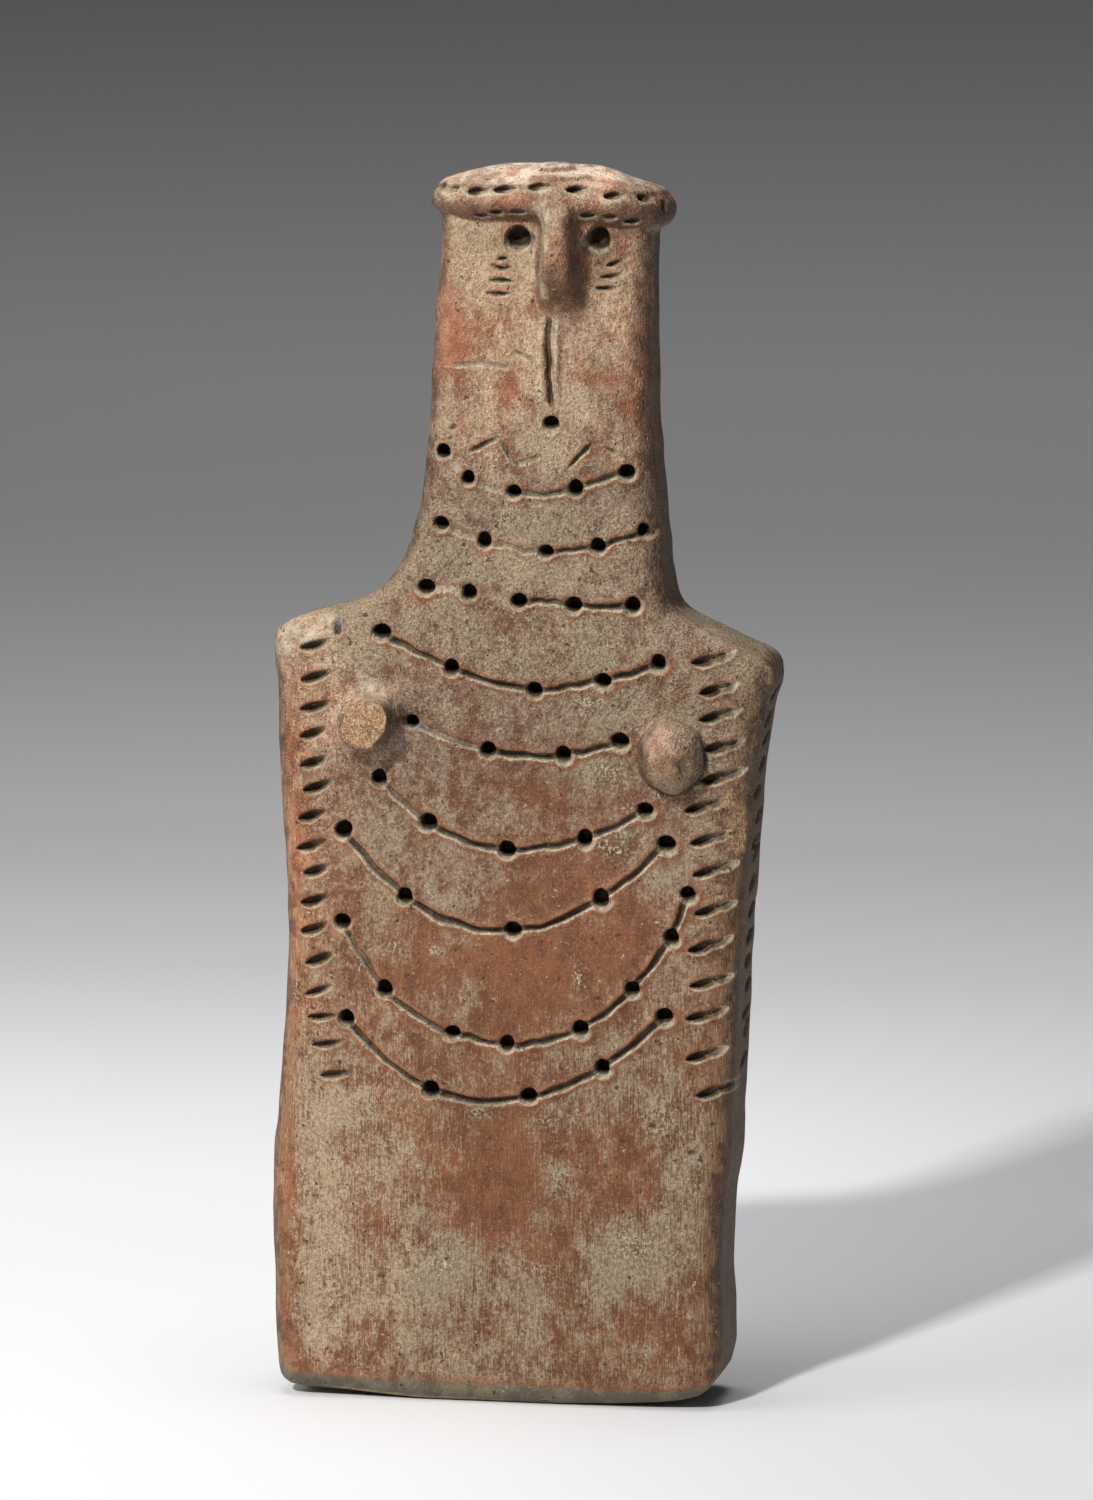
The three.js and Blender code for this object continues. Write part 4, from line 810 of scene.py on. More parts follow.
x, y, z = P.T
facing = ease(1.0, -3.5, y)
cut = sample(CUT, x, z) * facing
lipm = sample(LIP, x, z) * facing
cream_and_highlight = sample(CREAM, x, z) * facing
line, line_on, line_fill = sample(LS, x, z), sample(LON, x, z) * facing, sample(LFILL, x, z)
dash, dash_v, dash_pale, dash_on = sample(PS, x, z), sample(PV, x, z), sample(PP, x, z), sample(PON, x, z)
ring_d, ring_t, ring_b = sample(RS, x, z), sample(RT, x, z), sample(RB, x, z)
# nothing of the front's marks shows behind
dash = np.where(facing > 0.5, dash, 3.0)
ring_d = np.where(facing > 0.5, ring_d, 4.0)
# dark in each hole: dirt, plus painted shade where the inside is turned from the light; the lit lower slope is left
# lighter and gets a painted pale highlight
hole = np.zeros(nv)
for x0, z0, r, dep, tx, tz_, yf in placed:
    near_it = np.where((np.abs(x - x0) < 6) & (np.abs(z - z0) < 6) & (y < 0))[0]
    o = y[near_it] - yf
    c = np.hypot(x[near_it] - x0 - tx * o, z[near_it] - z0 - tz_ * o)
    in_it = ease(r + 0.35, r - 0.05, c) * ease(0.15, 1.1 if r < 2.2 else 1.5, o)
    lit = ease(0.55, 1.0, -(z[near_it] - z0 - tz_ * o) / np.maximum(c, 0.2)) * ease(2.4, 1.3, o) * ease(r * 0.45, r * 0.8, c)
    hole[near_it] = np.maximum(hole[near_it], in_it * (1 - (0.70 if r > 2.2 else 0.30) * lit))
    cream_and_highlight[near_it] = np.maximum(cream_and_highlight[near_it], lit * ease(r + 0.8, r + 0.2, c) * ease(-0.1, 0.3, o) * (0.35 if r > 2.2 else 0.45))
for x0, y0, z0, r in PITS:
    hole = np.maximum(hole, 0.8 * ease(r + 0.7, r - 0.1, np.sqrt(((x - x0) / 1.5) ** 2 + (y - y0) ** 2 + (z - z0) ** 2)))
for x0, y0, z0, L, W, dep, tilt, kind in rim_marks:
    q = np.sqrt(((x - x0) / (L + .25)) ** 2 + ((z - z0 - (x - x0) * tilt) / (W + .25)) ** 2 + ((y - y0) / (dep + .35)) ** 2)
    m = ease(1.10, 0.85, q)
    cut = np.maximum(cut, m)
    pale = {'c': 1.0, 'd': 1.0, 'r': 0.5, 'l': 0.1, 'b': 0.4}[kind]
    start = {'c': -1.6, 'd': -0.38, 'r': -0.1, 'l': 0.3, 'b': 0.1}[kind]
    low_edge = ease(0.05, -0.5, (z - z0 - (x - x0) * tilt) / W)
    cream_and_highlight = np.maximum(cream_and_highlight, m * pale * ease(start, start + 0.55, (x - x0) / L - 0.25 + 0.35 * low_edge))
    # a pale edge just below each dash: painted highlight where its lower rim catches the light
    q2 = np.sqrt(((x - x0) / (L + .5)) ** 2 + ((z - z0 + 0.55 - (x - x0) * tilt) / (W + .25)) ** 2 + ((y - y0) / (dep + .6)) ** 2)
    cream_and_highlight = np.maximum(cream_and_highlight, ease(1.10, 0.9, q2) * (1 - m) * ease(0.2, -0.3, z - z0) * (0.9 if kind in 'dlc' else 0.4))
chip = np.zeros(nv)
for n, (x0, y0, z0, ax, ay, az) in enumerate(CHIPS):
    q = np.sqrt(((x - x0) / ax) ** 2 + ((y - y0) / ay) ** 2 + ((z - z0) / az) ** 2)
    chip = np.maximum(chip, ease(1.02, 0.72, q + 0.22 * np.sin(x * 2.1 + n) * np.cos(z * 2.6 + y)))
# the snapped breast
o = yl - y
leans = o - (7.4 + 0.20 * (x - cxl) + 0.06 * (z - czl))
wide_here = np.clip(0.87 - 0.010 * (-(x - cxl) * sa + (z - czl) * ca), 0.6, 1.3)
pu = (x - cxl) * ca + (z - czl) * sa
pv = -(x - cxl) * sa + (z - czl) * ca
snapped = ease(-2.2, -1.5, leans) * ease(-0.30, -0.55, N[:, 1]) * ease(6.0, 5.3, ((np.abs(pu) / wide_here) ** 2.2 + (np.abs(pv) / 1.10) ** 2.2) ** (1 / 2.2)) * (o > 2.5)
chip = np.maximum(chip, snapped)
for x0, z0, r in ((-28.1, 148.0, 0.62), (-27.5, 142.3, 0.62), (-29.8, 144.6, 0.35)):
    fleck = ease(r + 0.35, r - 0.05, np.hypot(x - x0, z - z0)) * snapped
    chip, cream_and_highlight = chip * (1 - fleck), np.maximum(cream_and_highlight, fleck)
# the rubbed tips of the nose and of the other breast
worn_nose = ease(7.6, 9.6, -(y + 12.1)) * ease(234.0, 236.0, z) * ease(243, 239, z) * (np.abs(x - 10) < 6)
# a dark line round the lower right of the right breast's base, where its shadow falls: painted shade
breast_base_shade = np.hypot((x - cxr) * 1.06, (z - czr) * 0.92)
breast_base_shade = ease(1.3, 0.5, yr - y) * ease(-1.5, -0.6, yr - y) * ease(6.7, 7.2, breast_base_shade) * ease(8.3, 7.8, breast_base_shade)
breast_base_shade = breast_base_shade * ease(5.0, -2.0, (z - czr) - 0.5 * (x - cxr)) * (np.abs(x - cxr) < 9) * (np.abs(z - czr) < 9)
cut = np.maximum(cut, 0.75 * breast_base_shade)
worn_tip = ease(3.6, 6.0, yr - y) * np.clip(np.exp(-(((x - cxr - 0.4) / 3.6) ** 2 + ((z - czr + 1.4) / 2.8) ** 2))
                                            + 0.7 * np.exp(-(((x - cxr - 4.2) / 2.2) ** 2 + ((z - czr + 0.2) / 3.2) ** 2)), 0, 1)
# the underside of the nose, its right side and lower front, and the underside of the cap's rim: painted shade in dark
# red-brown, with little deposit
nose_part = ease(0.8, 3.0, -(y + 12.3)) * (np.abs(x - 10) < 8) * (z > 226) * (z < 256)
under = np.clip(nose_part * ease(0.05, -0.35, N[:, 2]) * (z < 239) + 0.9 * ease(0.0, -0.5, N[:, 2]) * (z > 246.5) * (z < 252), 0, 1)
under = np.clip(np.maximum(under, 0.55 * nose_part * ease(0.2, 0.6, N[:, 0]) * (z < 249)), 0, 1)
under = np.maximum(under, 0.38 * nose_part * ease(236.5, 232.5, z + 0.25 * (x - 10)))
# left side of the nose, which faces the light: painted pale highlight
lit_side_highlight = nose_part * ease(-0.15, -0.55, N[:, 0]) * (z > 232)
cream_and_highlight = np.maximum(cream_and_highlight, 0.70 * lit_side_highlight)
cream_and_highlight = np.maximum(cream_and_highlight, 0.8 * nose_part * np.exp(-(((x - 6.2) / 2.6) ** 2 + ((z - 249.2) / 1.9) ** 2)))
# nose ridge and the cap's roll: slip rubbed orange
ridge_tone = nose_part * ease(-0.5, -0.8, N[:, 1]) * ease(250, 245, z) * 0.45
roll = (z > 249.6) * (z < 254.2) * ease(0.35, 0.7, np.hypot(N[:, 0], N[:, 1])) * ease(-17.4, -14.0, -np.hypot((x - 6.6) / 1.55, y))
roll = roll * ease(249.6, 250.6, z) * ease(254.2, 253.4, z) * (1 - nose_part)
# the lower half of the cap's roll, facing down: painted shade
under = np.maximum(under, 0.55 * ease(0.30, -0.25, N[:, 2]) * ease(248.6, 249.6, z) * ease(252.8, 251.6, z) * (1 - nose_part))
lipm = np.maximum(lipm, np.maximum(ridge_tone, roll * (0.6 + 0.4 * ease(34, 20, x))))

# how sharply the surface bends: + on ridges and edges, - in hollows
E = np.empty(len(mesh.edges) * 2, np.int32)
mesh.edges.foreach_get("vertices", E)
E = E.reshape(-1, 2)
bend, count = np.zeros(nv), np.zeros(nv)
d = P[E[:, 1]] - P[E[:, 0]]
ln = np.maximum(np.linalg.norm(d, axis=1), 1e-3)
np.add.at(bend, E[:, 0], -(d * N[E[:, 0]]).sum(1) / ln)
np.add.at(bend, E[:, 1], (d * N[E[:, 1]]).sum(1) / ln)
np.add.at(count, E[:, 0], 1)
np.add.at(count, E[:, 1], 1)
bend /= np.maximum(count, 1)
for _ in range(2):
    t = np.zeros(nv)
    np.add.at(t, E[:, 0], bend[E[:, 1]])
    np.add.at(t, E[:, 1], bend[E[:, 0]])
    bend = 0.5 * bend + 0.5 * t / np.maximum(count, 1)
dust = sample(DUST, x, z) * facing

def attribute(name, v):
    v = np.nan_to_num(v)
    a = mesh.attributes.new(name, "FLOAT", "POINT")
    a.data.foreach_set("value", np.clip(v, 0, 1).astype(np.float32))


attribute("hole", hole)
attribute("chip", chip)
top_of_foot = np.interp(x, [-52, -48, -45, -36, -20, 0, 15, 30, 38, 44], [8.0, 6.1, 5.3, 4.8, 4.4, 4.4, 4.3, 4.0, 4.6, 7.0])
top_of_foot = top_of_foot + 0.25 * np.sin(x * 0.55) + 0.15 * np.sin(x * 1.7 + 1)
attribute("foot", ease(0.35, -0.35, z - top_of_foot))
lipm = np.maximum(lipm, 0.9 * ease(-0.2, 0.1, z - top_of_foot) * ease(1.2, 0.6, z - top_of_foot) * ease(-48.5, -45, x) * facing)
base_here = np.interp(x, xs, foot_x[:, 0])
cream_and_highlight = np.maximum(cream_and_highlight, 0.95 * ease(1.3, 0.7, z - base_here) * ease(-41, -36, x) * ease(0, -6, x) * facing * ease(-0.2, -0.6, N[:, 1]))
attribute("flank", ease(0.45, 0.85, np.abs(N[:, 0])))
attribute("ridge", ease(0.05, 0.34, bend))
attribute("hollow", ease(-0.05, -0.34, bend))
attribute("dust", 0.5 + 0.5 * np.clip(dust, -1, 1))
attribute("worn", np.maximum(worn_nose, worn_tip))
attribute("upward", ease(0.25, 0.8, N[:, 2]))
attribute("under", under)
rounding = ease(0.20, 0.50, np.abs(N[:, 0])) * ease(0.97, 0.80, np.abs(N[:, 0])) * ease(8.5, 5.5, -sample(S, x, z))
attribute("edge", rounding * facing * (z > 5) * (z < 248) * np.interp(z, [120, 150, 164, 176], [1.0, 0.75, 0.30, 0.22]))
attribute("tone_and_light", 0.5 + 0.5 * np.clip(sample(TONE_AND_LIGHT, x, z) * facing, -1, 1))
attribute("rose", np.maximum(sample(ROSE, x, z) * facing, 0))
attribute("cut", cut)
attribute("lip", lipm)
attribute("cream_and_highlight", cream_and_highlight)
attribute("crust", sample(CRUST, x, z) * facing)
attribute("roll", roll)
attribute("line", 0.5 + line / 6)
attribute("line_on", line_on)
attribute("line_fill", line_fill)
attribute("dash", 0.5 + dash / 6)
attribute("dash_v", 0.5 + 0.5 * dash_v)
attribute("dash_pale", dash_pale)
attribute("dash_on", dash_on)
attribute("ring", 0.2 + 0.2 * ring_d)
attribute("ring_t", 0.5 + 0.5 * ring_t)
attribute("ring_b", 0.5 + 0.5 * ring_b)
grey = np.exp(-(((x + 37.0) / 0.8) ** 2 + ((z - 163.7) / 2.0) ** 2)) + np.exp(-(((x + 19.6) / 1.2) ** 2 + ((z - 142.6) / 1.0) ** 2)) \
    + np.exp(-(((x - 8.0) / 3.4) ** 2 + ((y + 5.0) / 3.0) ** 2)) * (z > 257) * 0.3
attribute("grey", grey * (facing + (z > 257)))

P[:, 0] = np.clip(P[:, 0] - X_CENTRE, -53.15, 53.15)
P[:, 1] = np.clip(P[:, 1] - Y_CENTRE, -19.35, 19.35)
P[:, 2] = np.clip(P[:, 2], 0.0, 259.95)
mesh.vertices.foreach_set("co", (P / 1000.0).ravel())
mesh.update()
mesh.shade_smooth()
del D

# ------------------------------------------------------------------ clay
mat = bpy.data.materials.new("worn_red_slip")
mat.use_nodes = True
nt = mat.node_tree
nt.nodes.clear()
L = nt.links


def node(kind, **props):
    n = nt.nodes.new(kind)
    for k, v in props.items():
        if k.startswith("in_"):
            key = k[3:]
            key = int(key) if key.isdigit() else key.replace("_", " ")
            if isinstance(v, bpy.types.NodeSocket):
                L.new(v, n.inputs[key])
            else:
                n.inputs[key].default_value = v
        else:
            setattr(n, k, v)
    return n


def math_(op, a, b=None, c=None, clamp=False):
    n = nt.nodes.new("ShaderNodeMath")
    n.operation = op
    n.use_clamp = clamp
    for i, v in enumerate((a, b, c)):
        if v is None:
            continue
        if isinstance(v, bpy.types.NodeSocket):
            L.new(v, n.inputs[i])
        else:
            n.inputs[i].default_value = v
    return n.outputs[0]


def mix(fac, a, b, blend="MIX"):
    n = nt.nodes.new("ShaderNodeMix")
    n.data_type = "RGBA"
    n.blend_type = blend
    n.clamp_factor = True
    for key, v in ((0, fac), (6, a), (7, b)):
        if isinstance(v, bpy.types.NodeSocket):
            L.new(v, n.inputs[key])
        elif key == 0:
            n.inputs[key].default_value = v
        else:
            n.inputs[key].default_value = (*v, 1.0)
    return n.outputs[2]


def ramp(v, a, b, c=0.0, d=1.0, smooth=True):
    n = nt.nodes.new("ShaderNodeMapRange")
    n.interpolation_type = "SMOOTHSTEP" if smooth else "LINEAR"
    n.clamp = True
    L.new(v, n.inputs[0])
    for i, val in enumerate((a, b, c, d)):
        if isinstance(val, bpy.types.NodeSocket):
            L.new(val, n.inputs[1 + i])
        else:
            n.inputs[1 + i].default_value = val
    return n.outputs[0]


def attr(name):
    return node("ShaderNodeAttribute", attribute_name=name).outputs["Fac"]


coords = node("ShaderNodeTexCoord").outputs["Object"]


def noise(scale, detail=2.0, rough=0.5, stretch=(1, 1, 1), shift=(0, 0, 0), warp=0.0):
    """Noise over the object, scale in features per millimetre; about 0.5 in the middle."""
    m = node("ShaderNodeMapping", vector_type="POINT", in_Vector=coords)
    m.inputs["Scale"].default_value = tuple(1000 * scale * s for s in stretch)
    m.inputs["Location"].default_value = shift
    n = node("ShaderNodeTexNoise", in_Vector=m.outputs[0])
    n.inputs["Scale"].default_value = 1.0
    n.inputs["Detail"].default_value = detail
    n.inputs["Roughness"].default_value = rough
    n.inputs["Distortion"].default_value = warp
    return n.outputs[0]


def srgb(r, g, b):
    return tuple(((c / 255) / 12.92 if c / 255 <= 0.04045 else ((c / 255 + 0.055) / 1.055) ** 2.4) for c in (r, g, b))


names = ("cut", "lip", "cream_and_highlight", "hole", "chip", "foot", "flank", "ridge", "hollow", "dust", "worn", "upward", "under", "edge", "tone_and_light",
         "line", "line_on", "line_fill", "dash", "dash_v", "dash_pale", "dash_on", "ring", "ring_t", "ring_b", "grey", "rose", "crust", "roll")
M = {k: attr(k) for k in names}
sep = node("ShaderNodeSeparateXYZ", in_Vector=coords)
height = sep.outputs[2]

big = noise(0.035, 2.0, 0.5, (1, 1, 0.8), (3.1, 1.7, 5.2))
mid = noise(0.16, 2.0, 0.55, (1.15, 1.15, 0.7), (7.7, 0.3, 2.9), warp=0.3)
spot = noise(0.42, 3.0, 0.6, (1.0, 1.0, 0.85), (1.9, 8.3, 6.4))
grain = noise(1.45, 2.0, 0.65, (1.0, 1.0, 0.85), (9.4, 2.2, 4.6))
fine = noise(2.9, 1.0, 0.5, (1, 1, 1), (4.0, 8.0, 1.0))
fine2 = noise(2.4, 2.0, 0.6, (1, 1, 1), (14.0, 28.0, 11.0))
streak = noise(1.0, 2.0, 0.6, (2.9, 2.9, 0.24), (1.2, 6.1, 0.4))
head = ramp(height, 0.198, 0.206, 0.0, 1.0)      # 1 on the head
low = ramp(height, 0.120, 0.060, 0.0, 1.0)       # 1 on the lower, burnished body
high = ramp(height, 0.100, 0.150, 0.0, 1.0)      # 1 on the rough chest, neck and head


def around_half(v, k):
    return math_("MULTIPLY", math_("SUBTRACT", v, 0.5), k)


def total(*terms):
    t = terms[0]
    for u in terms[1:]:
        t = math_("ADD", t, u)
    return t


def times(*terms):
    t = terms[0]
    for u in terms[1:]:
        t = math_("MULTIPLY", t, u)
    return t


def band(v, a, b, c, d):
    """1 between b and c, fading to 0 at a and d."""
    return math_("MULTIPLY", ramp(v, a, b), ramp(v, d, c))


waver = total(around_half(fine, 0.55), around_half(grain, 0.45))
# distances in millimetres, made uneven by the grain of the clay
line_d = total(around_half(M["line"], 6.0), waver)
dash_d = total(around_half(M["dash"], 6.0), waver)
ring_d = total(around_half(M["ring"], 5.0), 1.5, waver)

# slip: brown red below, greyer and browner above, orange where it is rubbed
slip = mix(ramp(total(mid, around_half(streak, 0.5)), 0.38, 0.62), srgb(100, 60, 36), srgb(124, 76, 46))
slip = mix(ramp(spot, 0.42, 0.64, 0.0, 0.5), slip, srgb(138, 86, 52))
slip = mix(ramp(grain, 0.52, 0.66, 0.0, 0.45), slip, srgb(150, 96, 60))
pink = mix(ramp(spot, 0.36, 0.62), srgb(96, 70, 56), srgb(126, 90, 71))
slip = mix(math_("MULTIPLY", high, ramp(math_("ADD", M["dust"], around_half(mid, 1.6)), 0.2, 0.55, 0.10, 0.8)), slip, pink)

slip = mix(math_("MULTIPLY", head, 0.5), slip, mix(ramp(spot, 0.4, 0.6), srgb(118, 78, 57), srgb(138, 94, 72)))

# pale burial deposit: soft patches that break up into streaks and grains; more on ledges, less on rubbed edges
amount = total(around_half(M["dust"], 1.5), around_half(big, 0.9), around_half(mid, 1.2), around_half(spot, 1.35),
               times(around_half(grain, 1.0), math_("SUBTRACT", 1.0, math_("MULTIPLY", head, 0.35))), around_half(fine, 0.30),
               math_("MULTIPLY", around_half(streak, 1.55), math_("ADD", math_("MULTIPLY", low, 0.8), 0.2)),
               math_("MULTIPLY", high, 0.10), math_("MULTIPLY", M["upward"], 0.30),
               math_("MULTIPLY", M["ridge"], -0.42), math_("MULTIPLY", M["hollow"], 0.20), math_("MULTIPLY", M["flank"], -0.22),
               math_("MULTIPLY", M["under"], -0.55))
dust = ramp(amount, -0.40, 0.42)
dep = mix(ramp(grain, 0.35, 0.65), srgb(130, 113, 91), srgb(158, 142, 118))
dep = mix(ramp(fine2, 0.5, 0.66, 0.0, 0.4), dep, srgb(184, 170, 146))
colour = mix(math_("MULTIPLY", dust, 0.92), slip, dep)
rose = mix(ramp(total(spot, around_half(grain, 0.6)), 0.36, 0.62), srgb(140, 104, 88), srgb(170, 144, 128))
colour = mix(times(M["rose"], ramp(total(mid, around_half(grain, 0.8)), 0.28, 0.54, 0.35, 0.90)), colour, rose)

# crown, where it faces up: whitish and pinkish, partly pale crust and partly painted top light
crown_and_top_light = math_("MULTIPLY", M["upward"], ramp(height, 0.2535, 0.2565))
colour = mix(math_("MULTIPLY", crown_and_top_light, ramp(spot, 0.3, 0.6, 0.45, 0.9)), colour,
             mix(ramp(total(mid, around_half(spot, 0.6)), 0.38, 0.58), srgb(178, 146, 126), srgb(212, 196, 178)))
# flanks: the slip is better kept there, dull and streaky, and its dark colour also serves as painted shade on the sides
colour = mix(math_("MULTIPLY", M["flank"], ramp(spot, 0.3, 0.65, 0.85, 0.45)), colour,
             mix(ramp(streak, 0.36, 0.64), srgb(52, 45, 37), srgb(78, 66, 53)))
# rounded vertical edges: rubbed slip with pale streaks
edge_c = mix(ramp(streak, 0.50, 0.66, 0.0, 0.6), mix(ramp(spot, 0.35, 0.6), srgb(114, 80, 57), srgb(138, 98, 69)), srgb(170, 150, 120))
colour = mix(times(M["edge"], ramp(total(spot, around_half(mid, 1.2)), 0.36, 0.60, 0.05, 0.80)), colour, edge_c)
# rubbed ridges and the lips of cut lines
orange = mix(ramp(spot, 0.4, 0.6), srgb(130, 80, 54), srgb(154, 102, 72))
rubbed = times(M["ridge"], ramp(grain, 0.32, 0.58, 0.25, 0.85), ramp(high, 0.0, 1.0, 0.9, 0.55))
colour = mix(rubbed, colour, srgb(144, 90, 56))
lips = total(times(M["lip"], 1.0),
             times(M["line_on"], math_("MAXIMUM", band(line_d, 0.50, 0.72, 1.15, 1.55), band(line_d, -1.95, -1.50, -1.10, -0.90)), math_("SUBTRACT", 0.85, math_("MULTIPLY", head, 0.65))),
             times(M["dash_on"], band(dash_d, 0.05, 0.35, 0.8, 1.3), ramp(mid, 0.35, 0.6, 0.15, 0.7)),
             times(band(ring_d, 0.45, 0.8, 1.3, 1.9), ramp(M["ring_t"], 0.35, 0.9), 0.95),
             times(band(ring_d, 0.2, 0.45, 0.9, 1.3), ramp(mid, 0.45, 0.6, 0.0, 0.6)))
colour = mix(times(lips, ramp(total(grain, around_half(spot, 0.8)), 0.33, 0.56, 0.22, 0.92)), colour, orange)
colour = mix(times(M["roll"], ramp(total(mid, around_half(grain, 0.7)), 0.30, 0.54, 0.35, 0.95)), colour,
             mix(ramp(total(spot, around_half(fine, 0.4)), 0.38, 0.62), srgb(136, 80, 54), srgb(180, 128, 98)))
# painted shade under the nose and the cap's rim, on the nose's right side and lower front, and on the roll's lower half
colour = mix(times(M["under"], 0.85), colour, mix(ramp(spot, 0.4, 0.6), srgb(72, 50, 37), srgb(96, 67, 49)))
# pepper and salt: dark and pale grains
pepper = math_("MULTIPLY", ramp(fine, 0.46, 0.32, 0.0, 0.75), math_("SUBTRACT", math_("ADD", math_("MULTIPLY", high, 0.40), 0.40), math_("MULTIPLY", head, 0.30)))
colour = mix(pepper, colour, srgb(66, 48, 33))
salt = math_("MULTIPLY", ramp(fine2, 0.575, 0.72, 0.0, 0.55), math_("SUBTRACT", math_("ADD", math_("MULTIPLY", high, 0.35), 0.45), math_("MULTIPLY", head, 0.25)))
colour = mix(salt, colour, srgb(200, 186, 162))
# broad lighter areas: real tone and painted light
shine = ramp(M["tone_and_light"], 0.5, 1.0, smooth=False)
lighter = mix(1.0, colour, (1.74, 1.63, 1.56), blend="MULTIPLY")
colour = mix(shine, colour, lighter)
colour = mix(ramp(M["tone_and_light"], 0.5, 0.0, smooth=False), colour, mix(1.0, colour, (0.6, 0.6, 0.6), blend="MULTIPLY"))
# cream filling, and painted highlights: the thin lit edge below every cut, below each dash and on the lower rim of each
# hole
pale = math_("MAXIMUM", M["cream_and_highlight"], times(M["line_on"], band(line_d, -1.02, -0.86, -0.52, -0.36), 0.95))
pale = math_("MAXIMUM", pale, times(M["line_on"], M["line_fill"], band(line_d, -0.7, -0.5, 0.4, 0.65)))
pale = math_("MAXIMUM", pale, times(M["dash_on"], band(dash_d, -0.12, 0.06, 0.30, 0.46), ramp(M["dash_v"], 0.5, 0.2), 0.9))
pale = math_("MAXIMUM", pale, times(M["dash_pale"], ramp(dash_d, 0.25, -0.05)))
pale = math_("MAXIMUM", pale, times(band(ring_d, -0.2, 0.05, 0.60, 1.0), ramp(M["ring_b"], 0.40, 0.85), 0.85))
cream_c = mix(ramp(total(spot, around_half(grain, 0.6)), 0.35, 0.65), srgb(160, 142, 117), srgb(200, 186, 162))
colour = mix(math_("MULTIPLY", pale, ramp(grain, 0.26, 0.50, 0.50, 1.0)), colour, cream_c)
crust = times(M["crust"], ramp(total(grain, around_half(fine, 0.5)), 0.44, 0.56))
colour = mix(crust, colour, mix(ramp(fine2, 0.4, 0.6), srgb(168, 152, 122), srgb(206, 192, 162)))
colour = mix(math_("MULTIPLY", M["grey"], ramp(grain, 0.3, 0.5, 0.4, 0.95)), colour, srgb(150, 150, 148))
# dirt in cuts and holes, and painted shade in them as well
in_line = times(M["line_on"], band(line_d, -0.60, -0.38, 0.46, 0.66), math_("SUBTRACT", 1.0, M["line_fill"]))
in_dash = times(M["dash_on"], ramp(dash_d, -0.02, -0.34), math_("SUBTRACT", 1.0, M["dash_pale"]))
dirt_and_shade = math_("MAXIMUM", math_("MAXIMUM", in_line, in_dash), times(ramp(M["cut"], 0.25, 0.85), math_("SUBTRACT", 1.0, M["cream_and_highlight"])))
colour = mix(math_("MULTIPLY", dirt_and_shade, 0.88), colour, mix(ramp(spot, 0.4, 0.6), srgb(54, 45, 34), srgb(80, 68, 52)))
colour = mix(math_("MULTIPLY", M["hole"], 0.95), colour, mix(ramp(spot, 0.38, 0.62), srgb(26, 20, 12), srgb(60, 50, 28)))
# bare clay where it broke, duller where the break is old
bare = mix(ramp(grain, 0.35, 0.65), srgb(158, 116, 80), srgb(202, 160, 118))
bare = mix(ramp(fine, 0.46, 0.34, 0.0, 0.75), bare, srgb(108, 72, 44))
bare = mix(ramp(fine2, 0.56, 0.66, 0.0, 0.85), bare, srgb(226, 212, 188))
colour = mix(math_("MULTIPLY", M["chip"], ramp(spot, 0.25, 0.5, 0.7, 1.0)), colour, bare)
old = mix(ramp(spot, 0.38, 0.62), srgb(122, 98, 76), srgb(158, 116, 84))
old = mix(ramp(fine, 0.46, 0.34, 0.0, 0.7), old, srgb(84, 66, 48))
colour = mix(math_("MULTIPLY", M["worn"], 0.85), colour, old)
# foot band: smooth, without slip
foot_c = mix(ramp(total(mid, around_half(spot, 0.6)), 0.38, 0.62), srgb(98, 90, 75), srgb(122, 113, 94))
colour = mix(math_("MULTIPLY", M["foot"], math_("SUBTRACT", 0.95, M["cream_and_highlight"])), colour, foot_c)
# a few larger inclusions
specks = ramp(noise(0.8, 1.0, 0.5, (1, 1, 1), (20.0, 3.0, 8.0)), 0.305, 0.26, 0.0, 0.8)
colour = mix(specks, colour, srgb(52, 40, 32))
grits = ramp(noise(0.8, 1.0, 0.5, (1, 1, 1), (2.0, 33.0, 18.0)), 0.74, 0.785, 0.0, 0.6)
colour = mix(grits, colour, srgb(196, 182, 156))

shader = node("ShaderNodeBsdfPrincipled")
L.new(colour, shader.inputs["Base Color"])
rough_ = math_("ADD", ramp(dust, 0.0, 1.0, 0.50, 0.9), ramp(grain, 0.3, 0.7, -0.05, 0.1))
L.new(rough_, shader.inputs["Roughness"])
shader.inputs["Specular IOR Level"].default_value = 0.30

# grit and burnishing marks
relief = total(math_("MULTIPLY", grain, ramp(high, 0.0, 1.0, 0.32, 0.90)), math_("MULTIPLY", fine, ramp(high, 0.0, 1.0, 0.18, 0.50)),
               math_("MULTIPLY", spot, ramp(high, 0.0, 1.0, 0.35, 0.60)), math_("MULTIPLY", dust, 0.14),
               math_("MULTIPLY", streak, math_("MULTIPLY", low, 0.45)), math_("MULTIPLY", crust, 0.5),
               math_("MULTIPLY", math_("MULTIPLY", math_("MAXIMUM", M["chip"], M["worn"]), grain), 0.9))
bumpn = node("ShaderNodeBump", in_Height=relief)
bumpn.inputs["Distance"].default_value = 0.00066
bumpn.inputs["Strength"].default_value = 1.0
L.new(bumpn.outputs[0], shader.inputs["Normal"])
out = node("ShaderNodeOutputMaterial")
L.new(shader.outputs[0], out.inputs[0])
mesh.materials.clear()
mesh.materials.append(mat)

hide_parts("figurine")
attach(fig, "root")

# ------------------------------------------------------------------ studio
def to_m(px, py, pz):
    return Vector(((px - X_CENTRE) / 1000, (py - Y_CENTRE) / 1000, pz / 1000))


